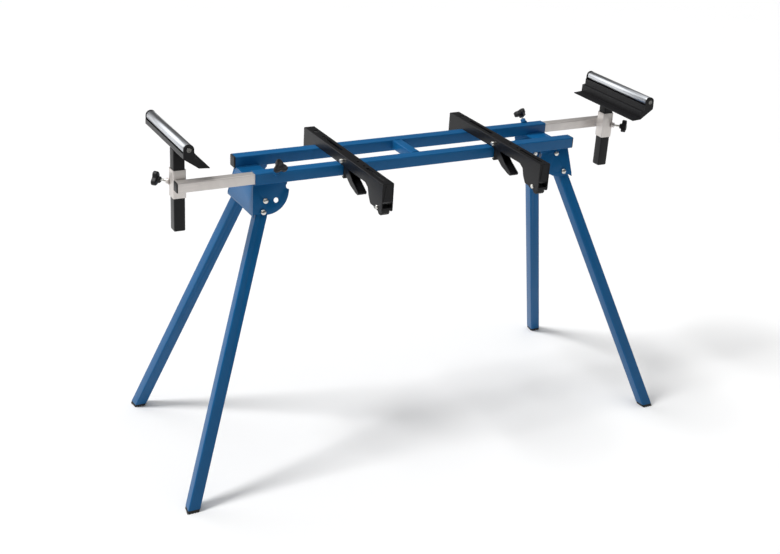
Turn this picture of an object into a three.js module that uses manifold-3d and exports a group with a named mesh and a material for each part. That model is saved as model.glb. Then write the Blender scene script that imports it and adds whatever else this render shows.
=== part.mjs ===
// Folding work stand with two telescopic roller supports and two clamp-on tool bars.
// Units are millimetres, +Z is up, the floor is z = 0 and the rails run along X.
import * as THREE from 'three';
import { mergeVertices } from 'three/addons/utils/BufferGeometryUtils.js';
import Module from 'manifold-3d';

const wasm = await Module();
wasm.setup();

// ---- general -------------------------------------------------------------
const GAP = 0.3;
const CENTRE_Y = 8.666;
const RAIL_Z = 751.6;
const BORE = 0.6;

// ---- rails, cross member, brackets ---------------------------------------
const RAIL = 30;
const RAIL_WALL = 1.8;
const RAIL_ROUND = 3;
const RAIL_HALF = 462.5;
const RAIL_Y = 65.8;
const CAP_LIP = 3;
const CAP_PLUG = 16;
const CROSS_X = -8.5;
const CROSS_SIDE = 25;
const SHEET = 2.5;
const PLATE_CENTRE = [432, 22];
const PLATE_RADIUS = 63;
const PLATE_TOP = -1;
const PLATE_INNER = 373;
const WEB_TOP = 461;
const WEB_BOTTOM = 470;
const WEB_DEPTH = 79;
const DECK_INNER = 400;
const DECK_HALF = 50.4;
const DECK_TOP = 2.8;
const NOTCH_RADIUS = 7.5;

// ---- legs ----------------------------------------------------------------
const TILT = THREE.MathUtils.degToRad(16.8);
const LEG = 30;
const LEG_WALL = 1.8;
const LEG_ROUND = 3;
const LEG_Y = 45.1;
const LEG_TOP_X = 415.8;
const SPLAY_FRONT = THREE.MathUtils.degToRad(19.57);
const SPLAY_REAR = THREE.MathUtils.degToRad(17.4);
const LOW_PIVOT = { depth: 51, reach: 28, fold: 2 };
const HIGH_PIVOT = { depth: 21, reach: 54, fold: 0 };
const BOLT_RADIUS = 4;
const BOLT_HEAD = 7;
const BUTTON_RADIUS = 4.2;
const BUTTON_TRAVEL = 3;
const NUT_THICK = 6;
const FOOT_RISE = 8;
const LEG_SET = [
  { name: 'front_left', sx: -1, sy: -1, splay: SPLAY_FRONT, type: LOW_PIVOT },
  { name: 'front_right', sx: 1, sy: -1, splay: SPLAY_FRONT, type: HIGH_PIVOT },
  { name: 'rear_left', sx: -1, sy: 1, splay: SPLAY_REAR, type: HIGH_PIVOT },
  { name: 'rear_right', sx: 1, sy: 1, splay: SPLAY_REAR, type: LOW_PIVOT },
];

// ---- extensions and roller supports --------------------------------------
const EXT = 25;
const EXT_WALL = 1.8;
const EXT_ROUND = 2.5;
const EXT_PAST_POST = 13;
const EXT_INSIDE = 430;
const POST_LEFT = 643;
const POST_RIGHT = 656;
const POST = 28;
const SLEEVE = 32.5;
const SLEEVE_LOW = -20;
const SLEEVE_HIGH = 50;
const SLEEVE_Y = RAIL_Y - EXT / 2 - GAP - SLEEVE / 2;
const POST_LOW = -102;
const POST_HIGH = 100;
const ROLLER_RADIUS = 12.5;
const ROLLER_BORE = 5;
const ROLLER_HALF = 134;
const ROLLER_OUT = 7;
const ROLLER_Z = 129.5;
const AXLE_RADIUS = 4;
const HEAD_HALF = 139;
const EAR_RADIUS = 13;
const CRADLE_SHEET = 2.2;

// ---- clamping knobs ------------------------------------------------------
const LOCK_X = 408;
const KNOB_Z = 15;
const KNOB_MEAN = 15;
const KNOB_LOBE = 4;
const KNOB_THICK = 13;
const KNOB_HUB = 6;
const SCREW_RADIUS = 3;
const BOSS_RADIUS = 7;

// ---- tool bars -----------------------------------------------------------
const BAR_X = 220;
const BAR_HALF = 15;
const BAR_TOP = 56.4;
const BAR_FRONT = -304.5;
const BAR_BACK = 147;
const BAR_LOW = -13;
const LUG_LOW = -16.5;
const WINDOW = [-6, 10.5];
const SLOTS = [[-52, 62, 8], [-288, -190, 8], [97, 112, 11], [-145.5, -138.5, 6], [-178.5, -172, 6]];
const PIN_Y = -88;
const PIN_Z = 42;
const PIN_RADIUS = 3;
const LEVER_ANGLE = THREE.MathUtils.degToRad(32);
const LEVER_LENGTH = 103;
const LEVER_HALF = 11.9;
const LEVER_SHEET = 2.2;
const FOOT_PIN = [-281, -9];

const BLUE = { color: 0x1c5c9c, roughness: 0.42, metalness: 0.1 };
const BLACK = { color: 0x1d1d1f, roughness: 0.5, metalness: 0.2 };
const STEEL = { color: 0xb9b2ad, roughness: 0.45, metalness: 0.8 };
const CHROME = { color: 0xc9cdd2, roughness: 0.2, metalness: 1.0 };
const PLASTIC = { color: 0x151516, roughness: 0.6, metalness: 0.0 };

const V = (x, y, z) => new THREE.Vector3(x, y, z);

// ---- solids --------------------------------------------------------------
function toSolid(geometry) {
  const bare = geometry.index ? geometry.toNonIndexed() : geometry.clone();
  bare.deleteAttribute('normal');
  bare.deleteAttribute('uv');
  const merged = mergeVertices(bare, 1e-4);
  const mesh = new wasm.Mesh({
    numProp: 3,
    vertProperties: new Float32Array(merged.attributes.position.array),
    triVerts: new Uint32Array(merged.index.array),
  });
  return new wasm.Manifold(mesh);
}

function toGeometry(solid) {
  const mesh = solid.getMesh();
  const geometry = new THREE.BufferGeometry();
  geometry.setAttribute('position', new THREE.BufferAttribute(new Float32Array(mesh.vertProperties), 3));
  geometry.setIndex(new THREE.BufferAttribute(new Uint32Array(mesh.triVerts), 1));
  return geometry;
}

function flip(geometry) {
  const flat = geometry.index ? geometry.toNonIndexed() : geometry;
  const p = flat.attributes.position;
  for (let i = 0; i < p.count; i += 3) {
    const b = V(p.getX(i + 1), p.getY(i + 1), p.getZ(i + 1));
    p.setXYZ(i + 1, p.getX(i + 2), p.getY(i + 2), p.getZ(i + 2));
    p.setXYZ(i + 2, b.x, b.y, b.z);
  }
  return flat;
}

// Moves a shape's own axes onto three given directions at an origin.
function place(geometry, origin, ex, ey, ez) {
  const matrix = new THREE.Matrix4().makeBasis(ex, ey, ez).setPosition(origin);
  const moved = geometry.clone().applyMatrix4(matrix);
  return toSolid(matrix.determinant() < 0 ? flip(moved) : moved);
}

function box(x0, x1, y0, y1, z0, z1) {
  const g = new THREE.BoxGeometry(x1 - x0, y1 - y0, z1 - z0);
  return toSolid(g.translate((x0 + x1) / 2, (y0 + y1) / 2, (z0 + z1) / 2));
}

function rounded(width, height, radius, target = new THREE.Shape()) {
  const w = width / 2;
  const h = height / 2;
  const r = Math.max(radius, 0.2);
  target.moveTo(w - r, -h);
  target.absarc(w - r, -h + r, r, -Math.PI / 2, 0);
  target.absarc(w - r, h - r, r, 0, Math.PI / 2);
  target.absarc(-w + r, h - r, r, Math.PI / 2, Math.PI);
  target.absarc(-w + r, -h + r, r, Math.PI, 1.5 * Math.PI);
  target.closePath();
  return target;
}

function extrude(shape, depth, curveSegments = 2) {
  return new THREE.ExtrudeGeometry(shape, { depth, bevelEnabled: false, curveSegments });
}

function tubeShape(size, wall, round) {
  const shape = rounded(size, size, round);
  shape.holes.push(rounded(size - 2 * wall, size - 2 * wall, round - wall, new THREE.Path()));
  return shape;
}

function polygon(points) {
  return new THREE.Shape(points.map(([x, y]) => new THREE.Vector2(x, y)));
}

// A round bar from a point along a direction.
function rod(origin, axis, radius, length, segments = 16) {
  const ez = axis.clone().normalize();
  const helper = Math.abs(ez.z) < 0.9 ? V(0, 0, 1) : V(1, 0, 0);
  const ex = new THREE.Vector3().crossVectors(helper, ez).normalize();
  const ey = new THREE.Vector3().crossVectors(ez, ex);
  const g = new THREE.CylinderGeometry(radius, radius, length, segments).rotateX(Math.PI / 2);
  return place(g.translate(0, 0, length / 2), origin, ex, ey, ez);
}

// A turned body: profile points are [radius, distance along the axis].
function turned(profile, origin, axis, segments = 16) {
  const ez = axis.clone().normalize();
  const helper = Math.abs(ez.z) < 0.9 ? V(0, 0, 1) : V(1, 0, 0);
  const ex = new THREE.Vector3().crossVectors(helper, ez).normalize();
  const ey = new THREE.Vector3().crossVectors(ez, ex);
  const points = profile.map(([r, s]) => new THREE.Vector2(r, s));
  const g = new THREE.LatheGeometry(points, segments).rotateX(Math.PI / 2);
  const solid = place(g, origin, ex, ey, ez);
  return solid.volume() < 0 ? place(flip(g), origin, ex, ey, ez) : solid;
}

const group = new THREE.Group();
group.name = 'folding_tool_stand';

function add(name, solid, look) {
  const geometry = toGeometry(solid);
  geometry.translate(0, CENTRE_Y, RAIL_Z);
  const mesh = new THREE.Mesh(geometry, new THREE.MeshStandardMaterial(look));
  mesh.name = name;
  group.add(mesh);
}

// ---- the leg's own axes: out along X, down the plate, square to the plate
function legAxes({ sx, sy }) {
  return {
    out: V(sx, 0, 0),
    down: V(0, sy * Math.sin(TILT), -Math.cos(TILT)),
    normal: V(0, sy * Math.cos(TILT), Math.sin(TILT)),
    origin: V(0, sy * LEG_Y, 0),
  };
}

function legPoint(leg, a, d, n) {
  const f = legAxes(leg);
  return f.origin.clone().addScaledVector(f.out, a).addScaledVector(f.down, d).addScaledVector(f.normal, n);
}

function axisReach(leg, depth) {
  return LEG_TOP_X + depth * Math.tan(leg.splay);
}

function pivotOf(leg) {
  return [axisReach(leg, leg.type.depth), leg.type.depth];
}

function lockOf(leg) {
  const [a, d] = pivotOf(leg);
  return [a + leg.type.reach * Math.sin(leg.splay), d + leg.type.reach * Math.cos(leg.splay)];
}

function foldedLockOf(leg) {
  const [a, d] = pivotOf(leg);
  const slope = THREE.MathUtils.degToRad(leg.type.fold);
  return [a - leg.type.reach * Math.cos(slope), d + leg.type.reach * Math.sin(slope)];
}

// ---- frame ---------------------------------------------------------------
const PLATE_IN = LEG / 2 + GAP;
const PLATE_OUT = PLATE_IN + SHEET;

function rail(sy) {
  const tube = place(extrude(tubeShape(RAIL, RAIL_WALL, RAIL_ROUND), 2 * RAIL_HALF),
    V(-RAIL_HALF, sy * RAIL_Y, RAIL / 2), V(0, 1, 0), V(0, 0, 1), V(1, 0, 0));
  const corner = V(sy * LOCK_X, sy * RAIL_Y, RAIL / 2);
  return tube.subtract(rod(corner, V(0, sy, 1), SCREW_RADIUS + GAP, RAIL));
}

function railCap(sy) {
  const inner = RAIL - 2 * RAIL_WALL - BORE;
  const end = V(-sy * (RAIL_HALF + GAP), sy * RAIL_Y, RAIL / 2);
  const outward = V(-sy, 0, 0);
  const lip = place(extrude(rounded(RAIL, RAIL, RAIL_ROUND), CAP_LIP), end, V(0, 1, 0), V(0, 0, 1), outward);
  const start = end.clone().addScaledVector(outward, -CAP_PLUG);
  const plug = place(extrude(rounded(inner, inner, 1), CAP_PLUG + 1), start, V(0, 1, 0), V(0, 0, 1), outward);
  return lip.add(plug);
}

function crossMember() {
  const half = RAIL_Y - RAIL / 2 - GAP;
  return place(extrude(tubeShape(CROSS_SIDE, 2, 2.5), 2 * half),
    V(CROSS_X, half, RAIL - GAP - CROSS_SIDE / 2), V(1, 0, 0), V(0, 0, 1), V(0, -1, 0));
}

function plateOutline() {
  const shape = new THREE.Shape();
  const [ca, cd] = PLATE_CENTRE;
  const edge = (WEB_BOTTOM - WEB_TOP) / WEB_DEPTH;
  shape.moveTo(WEB_TOP, PLATE_TOP);
  shape.lineTo(WEB_TOP + edge * (cd + PLATE_RADIUS - 4), cd + PLATE_RADIUS - 4);
  shape.lineTo(ca, cd + PLATE_RADIUS);
  shape.absarc(ca, cd, PLATE_RADIUS, Math.PI / 2, Math.PI);
  shape.lineTo(PLATE_INNER, cd - NOTCH_RADIUS);
  shape.lineTo(PLATE_INNER, PLATE_TOP);
  shape.closePath();
  return shape;
}

function sidePlate(leg) {
  const f = legAxes(leg);
  const low = f.origin.clone().addScaledVector(f.normal, PLATE_IN);
  let plate = place(extrude(plateOutline(), SHEET, 14), low, f.out, f.down, f.normal);
  const bore = (a, d, r) => rod(legPoint(leg, a, d, PLATE_IN - 5), f.normal, r, SHEET + 10, 20);
  const notch = foldedLockOf({ ...leg, type: HIGH_PIVOT });
  const mouth = polygon([[notch[0] - 30, notch[1] - NOTCH_RADIUS], [notch[0], notch[1] - NOTCH_RADIUS],
    [notch[0], notch[1] + NOTCH_RADIUS], [notch[0] - 30, notch[1] + NOTCH_RADIUS]]);
  const slot = place(extrude(mouth, SHEET + 4), f.origin.clone().addScaledVector(f.normal, PLATE_IN - 2),
    f.out, f.down, f.normal);
  plate = plate.subtract(bore(...pivotOf(leg), BOLT_RADIUS + GAP));
  plate = plate.subtract(bore(...lockOf(leg), BUTTON_RADIUS + GAP));
  plate = plate.subtract(bore(...notch, NOTCH_RADIUS)).subtract(slot);
  if (leg.type === LOW_PIVOT) {
    plate = plate.subtract(bore(...foldedLockOf(leg), BUTTON_RADIUS + GAP + 2));
  }
  return plate;
}

function bracket(sx) {
  const spread = (z) => LEG_Y + PLATE_OUT / Math.cos(TILT) - z * Math.tan(TILT);
  const top = -2 * GAP;
  const outline = polygon([[-spread(top) + 1, top], [-DECK_HALF, top], [-DECK_HALF, DECK_TOP],
    [DECK_HALF, DECK_TOP], [DECK_HALF, top], [spread(top) - 1, top],
    [spread(-WEB_DEPTH) - 1, -WEB_DEPTH], [-spread(-WEB_DEPTH) + 1, -WEB_DEPTH]]);
  const lean = Math.atan2(WEB_BOTTOM - WEB_TOP, WEB_DEPTH);
  const up = V(-sx * Math.sin(lean), 0, Math.cos(lean));
  const out = V(sx * Math.cos(lean), 0, Math.sin(lean));
  const web = place(extrude(outline, SHEET), V(sx * (WEB_TOP - SHEET), 0, 0), V(0, 1, 0), up, out);
  const reach = [sx * DECK_INNER, sx * WEB_TOP].sort((a, b) => a - b);
  const deck = box(reach[0], reach[1], -DECK_HALF, DECK_HALF, DECK_TOP - SHEET, DECK_TOP - 0.02);
  const above = box(sx * RAIL_HALF - 150, sx * RAIL_HALF + 150, -120, 120, -GAP, 40);
  const sides = LEG_SET.filter((leg) => leg.sx === sx).map((leg) => sidePlate(leg).subtract(above));
  return web.add(deck).add(sides[0]).add(sides[1]);
}

// ---- legs ----------------------------------------------------------------
// The unfolded leg's directions: along it from the pivot, across it and square to its side plate.
function legLines(leg) {
  const f = legAxes(leg);
  const s = Math.sin(leg.splay);
  const c = Math.cos(leg.splay);
  return {
    along: f.out.clone().multiplyScalar(s).addScaledVector(f.down, c),
    across: f.out.clone().multiplyScalar(c).addScaledVector(f.down, -s),
    normal: f.normal,
  };
}

function legBeam(leg, shape, from, to) {
  const { along, across, normal } = legLines(leg);
  const start = legPoint(leg, ...pivotOf(leg), 0).addScaledVector(along, from);
  return place(extrude(shape, to - from), start, across, normal, along);
}

function legLength(leg) {
  return (RAIL_Z / Math.cos(TILT) - leg.type.depth) / Math.cos(leg.splay);
}

function floorCut(low, high) {
  return box(-900, 900, -500, 500, -RAIL_Z + low, -RAIL_Z + high);
}

// A long plate with one half-round end, centred on the pivot.
function stadium(leg, radius, thick, length) {
  const { along, across, normal } = legLines(leg);
  const shape = new THREE.Shape();
  shape.moveTo(-radius, length);
  shape.lineTo(-radius, 0);
  shape.absarc(0, 0, radius, Math.PI, 2 * Math.PI);
  shape.lineTo(radius, length);
  shape.closePath();
  return place(extrude(shape, thick, 12), legPoint(leg, ...pivotOf(leg), -thick / 2), across, along, normal);
}

function legTube(leg) {
  const f = legAxes(leg);
  const length = legLength(leg) + 40;
  const wall = LEG / 2 - LEG_WALL;
  const beam = legBeam(leg, rounded(LEG, LEG, LEG_ROUND), -LEG, length);
  const outer = stadium(leg, LEG / 2, LEG, length).intersect(beam);
  const tube = outer.subtract(stadium(leg, wall, 2 * wall, length + 10));
  const bolt = rod(legPoint(leg, ...pivotOf(leg), -LEG), f.normal, BOLT_RADIUS + GAP, 2 * LEG, 20);
  const button = rod(legPoint(leg, ...lockOf(leg), 0), f.normal, BUTTON_RADIUS + GAP, LEG, 20);
  return tube.subtract(bolt).subtract(button).subtract(floorCut(-100, FOOT_RISE));
}

function legFoot(leg) {
  const length = legLength(leg);
  const inner = LEG - 2 * LEG_WALL - BORE;
  const pad = legBeam(leg, rounded(LEG - 1, LEG - 1, LEG_ROUND), length - 60, length + 40);
  const plug = legBeam(leg, rounded(inner, inner, 1.5), length - 34, length + 40);
  return pad.intersect(floorCut(0, FOOT_RISE - GAP)).add(plug.intersect(floorCut(2, 60)));
}

function hexagon(radius) {
  const points = [];
  for (let i = 0; i < 6; i += 1) {
    points.push([radius * Math.cos(i * Math.PI / 3), radius * Math.sin(i * Math.PI / 3)]);
  }
  return polygon(points);
}

// The domed head of a bolt or pin, from its underside to its crown.
function domeHead(under) {
  return [[BOLT_HEAD, under], [BOLT_HEAD, under + 1], [5.4, under + 3], [3, under + 4.2], [0, under + 4.6]];
}

function pivotBolt(leg) {
  const f = legAxes(leg);
  const at = (n) => legPoint(leg, ...pivotOf(leg), n);
  const low = -LEG / 2 - GAP - NUT_THICK;
  const high = PLATE_OUT + GAP;
  const shank = rod(at(low), f.normal, BOLT_RADIUS, high - low + 1, 20);
  const dome = turned([[0, high], ...domeHead(high)], at(0), f.normal, 20);
  const nut = place(extrude(hexagon(BOLT_HEAD), NUT_THICK), at(low), f.out, f.down, f.normal);
  return shank.add(dome).add(nut);
}

// A push pin in the side plate: its tip stands just clear of the leg and goes into the leg's hole.
function lockButton(leg) {
  const f = legAxes(leg);
  const r = BUTTON_RADIUS;
  const under = PLATE_OUT + GAP + BUTTON_TRAVEL;
  const profile = [[0, PLATE_IN], [r - 0.8, PLATE_IN], [r, PLATE_IN + 0.8], [r, under], ...domeHead(under)];
  return turned(profile, legPoint(leg, ...lockOf(leg), 0), f.normal, 20);
}

// ---- extensions and posts (side -1 is left, in the front rail) -----------
function postX(side) {
  return side * (side < 0 ? POST_LEFT : POST_RIGHT);
}

function extensionEnd(side) {
  return postX(side) + side * EXT_PAST_POST;
}

function extension(side) {
  const length = Math.abs(extensionEnd(side)) - RAIL_HALF + EXT_INSIDE;
  return place(extrude(tubeShape(EXT, EXT_WALL, EXT_ROUND), length),
    V(extensionEnd(side), side * RAIL_Y, RAIL / 2), V(0, 1, 0), V(0, 0, 1), V(-side, 0, 0));
}

function extensionCap(side) {
  const inner = EXT - 2 * EXT_WALL - BORE;
  const out = V(side, 0, 0);
  const end = V(extensionEnd(side) + side * GAP, side * RAIL_Y, RAIL / 2);
  const lip = place(extrude(rounded(EXT, EXT, EXT_ROUND), 2.5), end, V(0, 1, 0), V(0, 0, 1), out);
  const start = end.clone().addScaledVector(out, -14);
  return lip.add(place(extrude(rounded(inner, inner, 1), 15), start, V(0, 1, 0), V(0, 0, 1), out));
}

function knobAxis(side) {
  return V(side, -side, 0).normalize();
}

function sleeve(side) {
  const axis = knobAxis(side);
  const tube = place(extrude(tubeShape(SLEEVE, RAIL_WALL, RAIL_ROUND), SLEEVE_HIGH - SLEEVE_LOW),
    V(postX(side), side * SLEEVE_Y, SLEEVE_LOW), V(1, 0, 0), V(0, 1, 0), V(0, 0, 1));
  const centre = V(postX(side), side * SLEEVE_Y, KNOB_Z);
  const boss = rod(centre.clone().addScaledVector(axis, 20), axis, BOSS_RADIUS, 9, 20);
  return tube.add(boss).subtract(rod(centre.clone().addScaledVector(axis, 10), axis, SCREW_RADIUS + GAP, 30));
}

function post(side) {
  return place(extrude(tubeShape(POST, EXT_WALL, EXT_ROUND), POST_HIGH - POST_LOW),
    V(postX(side), side * SLEEVE_Y, POST_LOW), V(1, 0, 0), V(0, 1, 0), V(0, 0, 1));
}

// The cradle's section is drawn from the roller's axis: first number towards the stand, second up.
function thickLine(points, t) {
  const offset = [];
  for (let i = 0; i < points.length; i += 1) {
    const before = points[Math.max(i - 1, 0)];
    const after = points[Math.min(i + 1, points.length - 1)];
    const here = points[i];
    const d1 = new THREE.Vector2(here[0] - before[0], here[1] - before[1]).normalize();
    const d2 = new THREE.Vector2(after[0] - here[0], after[1] - here[1]).normalize();
    if (d1.length() === 0) d1.copy(d2);
    if (d2.length() === 0) d2.copy(d1);
    const n = new THREE.Vector2(-d1.y - d2.y, d1.x + d2.x).normalize();
    const stretch = t / Math.max(n.dot(new THREE.Vector2(-d1.y, d1.x)), 0.4);
    offset.push([here[0] + n.x * stretch, here[1] + n.y * stretch]);
  }
  return polygon([...points, ...offset.reverse()]);
}

function headPlace(geometry, side, from) {
  const at = V(postX(side) + side * ROLLER_OUT, from, ROLLER_Z);
  return place(geometry, at, V(-side, 0, 0), V(0, 0, 1), V(0, 1, 0));
}

function cradle(side) {
  const length = 2 * HEAD_HALF;
  const ear = EAR_RADIUS;
  const trough = thickLine([[-13.5, -9], [-13.5, -21], [24, -47], [50, -49]], CRADLE_SHEET);
  const guard = thickLine([[24, -46], [24, -25.5], [14.5, -24], [14.5, -9]], CRADLE_SHEET);
  const plate = polygon([[-ear, 0], [-ear - 0.5, -21], [24, -47], [50, -49], [50, -47.2], [24, -44.5],
    [24, -25.5], [ear, -24], [ear, 0]]);
  const disc = new THREE.Shape().absarc(0, 0, ear, 0, 2 * Math.PI);
  let body = headPlace(extrude(trough, length), side, -HEAD_HALF);
  body = body.add(headPlace(extrude(guard, length), side, -HEAD_HALF));
  for (const from of [-HEAD_HALF, HEAD_HALF - CRADLE_SHEET]) {
    body = body.add(headPlace(extrude(plate, CRADLE_SHEET), side, from));
    body = body.add(headPlace(extrude(disc, CRADLE_SHEET, 20), side, from));
  }
  const half = POST / 2 + GAP;
  const x = postX(side);
  const y = side * SLEEVE_Y;
  const mouth = box(x - half, x + half, y - half, y + half, 0, POST_HIGH + 2);
  const bore = rod(V(x + side * ROLLER_OUT, -HEAD_HALF - 5, ROLLER_Z), V(0, 1, 0), AXLE_RADIUS + GAP,
    length + 10, 20);
  return body.subtract(mouth).subtract(bore);
}

function rollerTube(side) {
  const g = new THREE.Shape().absarc(0, 0, ROLLER_RADIUS, 0, 2 * Math.PI);
  g.holes.push(new THREE.Path().absarc(0, 0, ROLLER_BORE, 0, 2 * Math.PI, true));
  return headPlace(extrude(g, 2 * ROLLER_HALF, 24), side, -ROLLER_HALF);
}

function axle(side) {
  const at = V(postX(side) + side * ROLLER_OUT, -HEAD_HALF - 2.5, ROLLER_Z);
  const length = 2 * HEAD_HALF + 5;
  const r = AXLE_RADIUS;
  const profile = [[0, 0], [5.2, 0], [6, 0.8], [6, 2.2], [r, 2.2], [r, length - 2.2], [6, length - 2.2],
    [6, length - 0.8], [5.2, length], [0, length]];
  return turned(profile, at, V(0, 1, 0), 20);
}

// ---- knobs ---------------------------------------------------------------
function knob(origin, axis) {
  const ez = axis.clone().normalize();
  const helper = Math.abs(ez.z) < 0.9 ? V(0, 0, 1) : V(1, 0, 0);
  const ex = new THREE.Vector3().crossVectors(helper, ez).normalize();
  const ey = new THREE.Vector3().crossVectors(ez, ex);
  const outline = [];
  const steps = 30;
  for (let i = 0; i < steps; i += 1) {
    const angle = (2 * Math.PI * i) / steps;
    const r = KNOB_MEAN + KNOB_LOBE * Math.cos(3 * angle);
    outline.push([r * Math.sin(angle), r * Math.cos(angle)]);
  }
  const bevel = { depth: KNOB_THICK - 4, bevelEnabled: true, bevelThickness: 2, bevelSize: 2, bevelOffset: -2,
    bevelSegments: 1 };
  const body = new THREE.ExtrudeGeometry(polygon(outline), bevel).translate(0, 0, KNOB_HUB);
  const hub = rod(origin, ez, 7, KNOB_HUB, 20);
  const hole = rod(origin.clone().addScaledVector(ez, -1), ez, SCREW_RADIUS + GAP, 10, 20);
  return place(body, origin, ex, ey, ez).add(hub).subtract(hole);
}

function lockStart(side) {
  return V(side * LOCK_X, side * RAIL_Y, RAIL / 2);
}

function lockAxis(side) {
  return V(0, side, 1).normalize();
}

function lockBoss(side) {
  const at = lockStart(side);
  const axis = lockAxis(side);
  const round = rod(at.clone().addScaledVector(axis, 14), axis, BOSS_RADIUS, 16, 20);
  const bore = rod(at.clone().addScaledVector(axis, 10), axis, SCREW_RADIUS + GAP, 30, 20);
  const half = RAIL / 2 + GAP;
  const y = side * RAIL_Y;
  const seat = place(extrude(rounded(2 * half, 2 * half, RAIL_ROUND), 60), V(at.x - 30, y, RAIL / 2),
    V(0, 1, 0), V(0, 0, 1), V(1, 0, 0));
  return round.subtract(bore).subtract(seat);
}

function clampScrew(centre, axis, tip, length) {
  const at = centre.clone().addScaledVector(axis, tip);
  const r = SCREW_RADIUS;
  return turned([[0, 0], [r - 0.8, 0], [r, 0.8], [r, length], [0, length]], at, axis, 20);
}

// ---- tool bars -----------------------------------------------------------
function alongX(points, x0, x1) {
  return place(extrude(polygon(points), x1 - x0), V(x0, 0, 0), V(0, 1, 0), V(0, 0, 1), V(1, 0, 0));
}

function slot(x, y0, y1, width) {
  const r = width / 2;
  const ends = [y0 + r, y1 - r].map((y) => rod(V(x, y, BAR_TOP - 10), V(0, 0, 1), r, 20, 20));
  return ends[0].add(ends[1]).add(box(x - r, x + r, y0 + r, y1 - r, BAR_TOP - 10, BAR_TOP + 10));
}

function toolBar(x) {
  const over = RAIL + GAP;
  const behind = RAIL_Y + RAIL / 2 + 1.5;
  const frontLeg = [[BAR_BACK, BAR_TOP], [BAR_FRONT, BAR_TOP], [BAR_FRONT, LUG_LOW + 6],
    [BAR_FRONT + 6, LUG_LOW], [-268, LUG_LOW], [-263, BAR_LOW], [-246, BAR_LOW], [-235, 4], [-229, 22],
    [-214, over]];
  const rearHook = [[behind, over], [behind, -1.5], [behind - 6, -1.5], [behind - 6, -5],
    [behind + 4, BAR_LOW], [BAR_BACK - 8, BAR_LOW], [BAR_BACK, BAR_LOW + 8]];
  const profile = [...frontLeg, ...rearHook];
  let body = alongX(profile, x - BAR_HALF, x - BAR_HALF + SHEET);
  body = body.add(alongX(profile, x + BAR_HALF - SHEET, x + BAR_HALF));
  body = body.add(box(x - BAR_HALF, x + BAR_HALF, BAR_FRONT, BAR_BACK, BAR_TOP - SHEET, BAR_TOP));
  body = body.add(box(x - BAR_HALF, x + BAR_HALF, BAR_FRONT, BAR_FRONT + SHEET, LUG_LOW + 6, BAR_TOP));
  const inner = BAR_HALF - SHEET;
  body = body.subtract(box(x - inner, x + inner, BAR_FRONT - 1, BAR_FRONT + SHEET + 1, ...WINDOW));
  body = body.add(box(x - BAR_HALF, x + BAR_HALF, behind, behind + SHEET, -3, over + 5));
  body = body.intersect(roundBarEdges(x));
  for (const [y0, y1, width] of SLOTS) {
    body = body.subtract(slot(x, y0, y1, width));
  }
  const pin = rod(V(x - 2 * BAR_HALF, PIN_Y, PIN_Z), V(1, 0, 0), PIN_RADIUS + GAP, 4 * BAR_HALF, 20);
  const footPin = rod(V(x - 2 * BAR_HALF, ...FOOT_PIN), V(1, 0, 0), PIN_RADIUS + GAP, 4 * BAR_HALF, 20);
  return body.subtract(pin).subtract(footPin);
}

function roundBarEdges(x) {
  const high = BAR_TOP - LUG_LOW;
  return place(extrude(rounded(2 * BAR_HALF, high + 6, 2.2), BAR_BACK - BAR_FRONT),
    V(x, BAR_BACK, BAR_TOP - (high + 6) / 2), V(1, 0, 0), V(0, 0, 1), V(0, -1, 0));
}

// Lever axes in the YZ plane: along the lever, and square to it on the upper side.
function leverPoint(along, up) {
  const c = Math.cos(LEVER_ANGLE);
  const s = Math.sin(LEVER_ANGLE);
  return [PIN_Y - along * c - up * s, PIN_Z - along * s + up * c];
}

function lever(x) {
  const tip = LEVER_LENGTH;
  const wall = [[-8, -5], [-8, 4], [-4, 7], [6, 7], [30, 1], [63, -3], [tip - 2, -1], [tip, -3], [tip, -8],
    [92, -13], [61, -21], [34, -21], [14, -14], [-4, -8]];
  const web = [[16, -14.7], [16.8, -12.6], [34.4, -18.8], [60.5, -18.8], [91.5, -10.8], [tip - 1, -6],
    [tip, -8], [92, -13], [61, -21], [34, -21]];
  const end = [[tip - 2.2, -8], [tip - 2.2, -2], [tip, -3], [tip, -8]];
  const turn = (list) => list.map(([a, u]) => leverPoint(a, u));
  let body = alongX(turn(wall), x - LEVER_HALF, x - LEVER_HALF + LEVER_SHEET);
  body = body.add(alongX(turn(wall), x + LEVER_HALF - LEVER_SHEET, x + LEVER_HALF));
  body = body.add(alongX(turn(web), x - LEVER_HALF, x + LEVER_HALF));
  body = body.add(alongX(turn(end), x - LEVER_HALF, x + LEVER_HALF));
  return body.subtract(rod(V(x - 20, PIN_Y, PIN_Z), V(1, 0, 0), PIN_RADIUS + GAP, 40, 20));
}

function jaw(x) {
  const face = RAIL_Y + RAIL / 2 + 1.5;
  const blade = [[-face, PIN_Z], [-face, -1.5], [-face + 6, -1.5], [-face + 6, -4], [-face + 1, -6.5],
    [-face - 2.5, -6.5], [-face - 4, -4], [-face - 4, PIN_Z]];
  const body = alongX(blade, x - 9, x + 9);
  const barrel = rod(V(x - 9, PIN_Y, PIN_Z), V(1, 0, 0), 6.5, 18, 20);
  return body.add(barrel).subtract(rod(V(x - 20, PIN_Y, PIN_Z), V(1, 0, 0), PIN_RADIUS + GAP, 40, 20));
}

function crossPin(x, [y, z], head) {
  const low = -BAR_HALF - GAP - head;
  const length = 2 * BAR_HALF + 2 * GAP + head + 3;
  const r = PIN_RADIUS;
  const profile = [[0, 0], [4.6, 0], [5.6, 1], [5.6, head], [r, head], [r, length - 3], [5.2, length - 3],
    [5.2, length - 1], [4.2, length], [0, length]];
  return turned(profile, V(x + low, y, z), V(1, 0, 0), 20);
}

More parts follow.
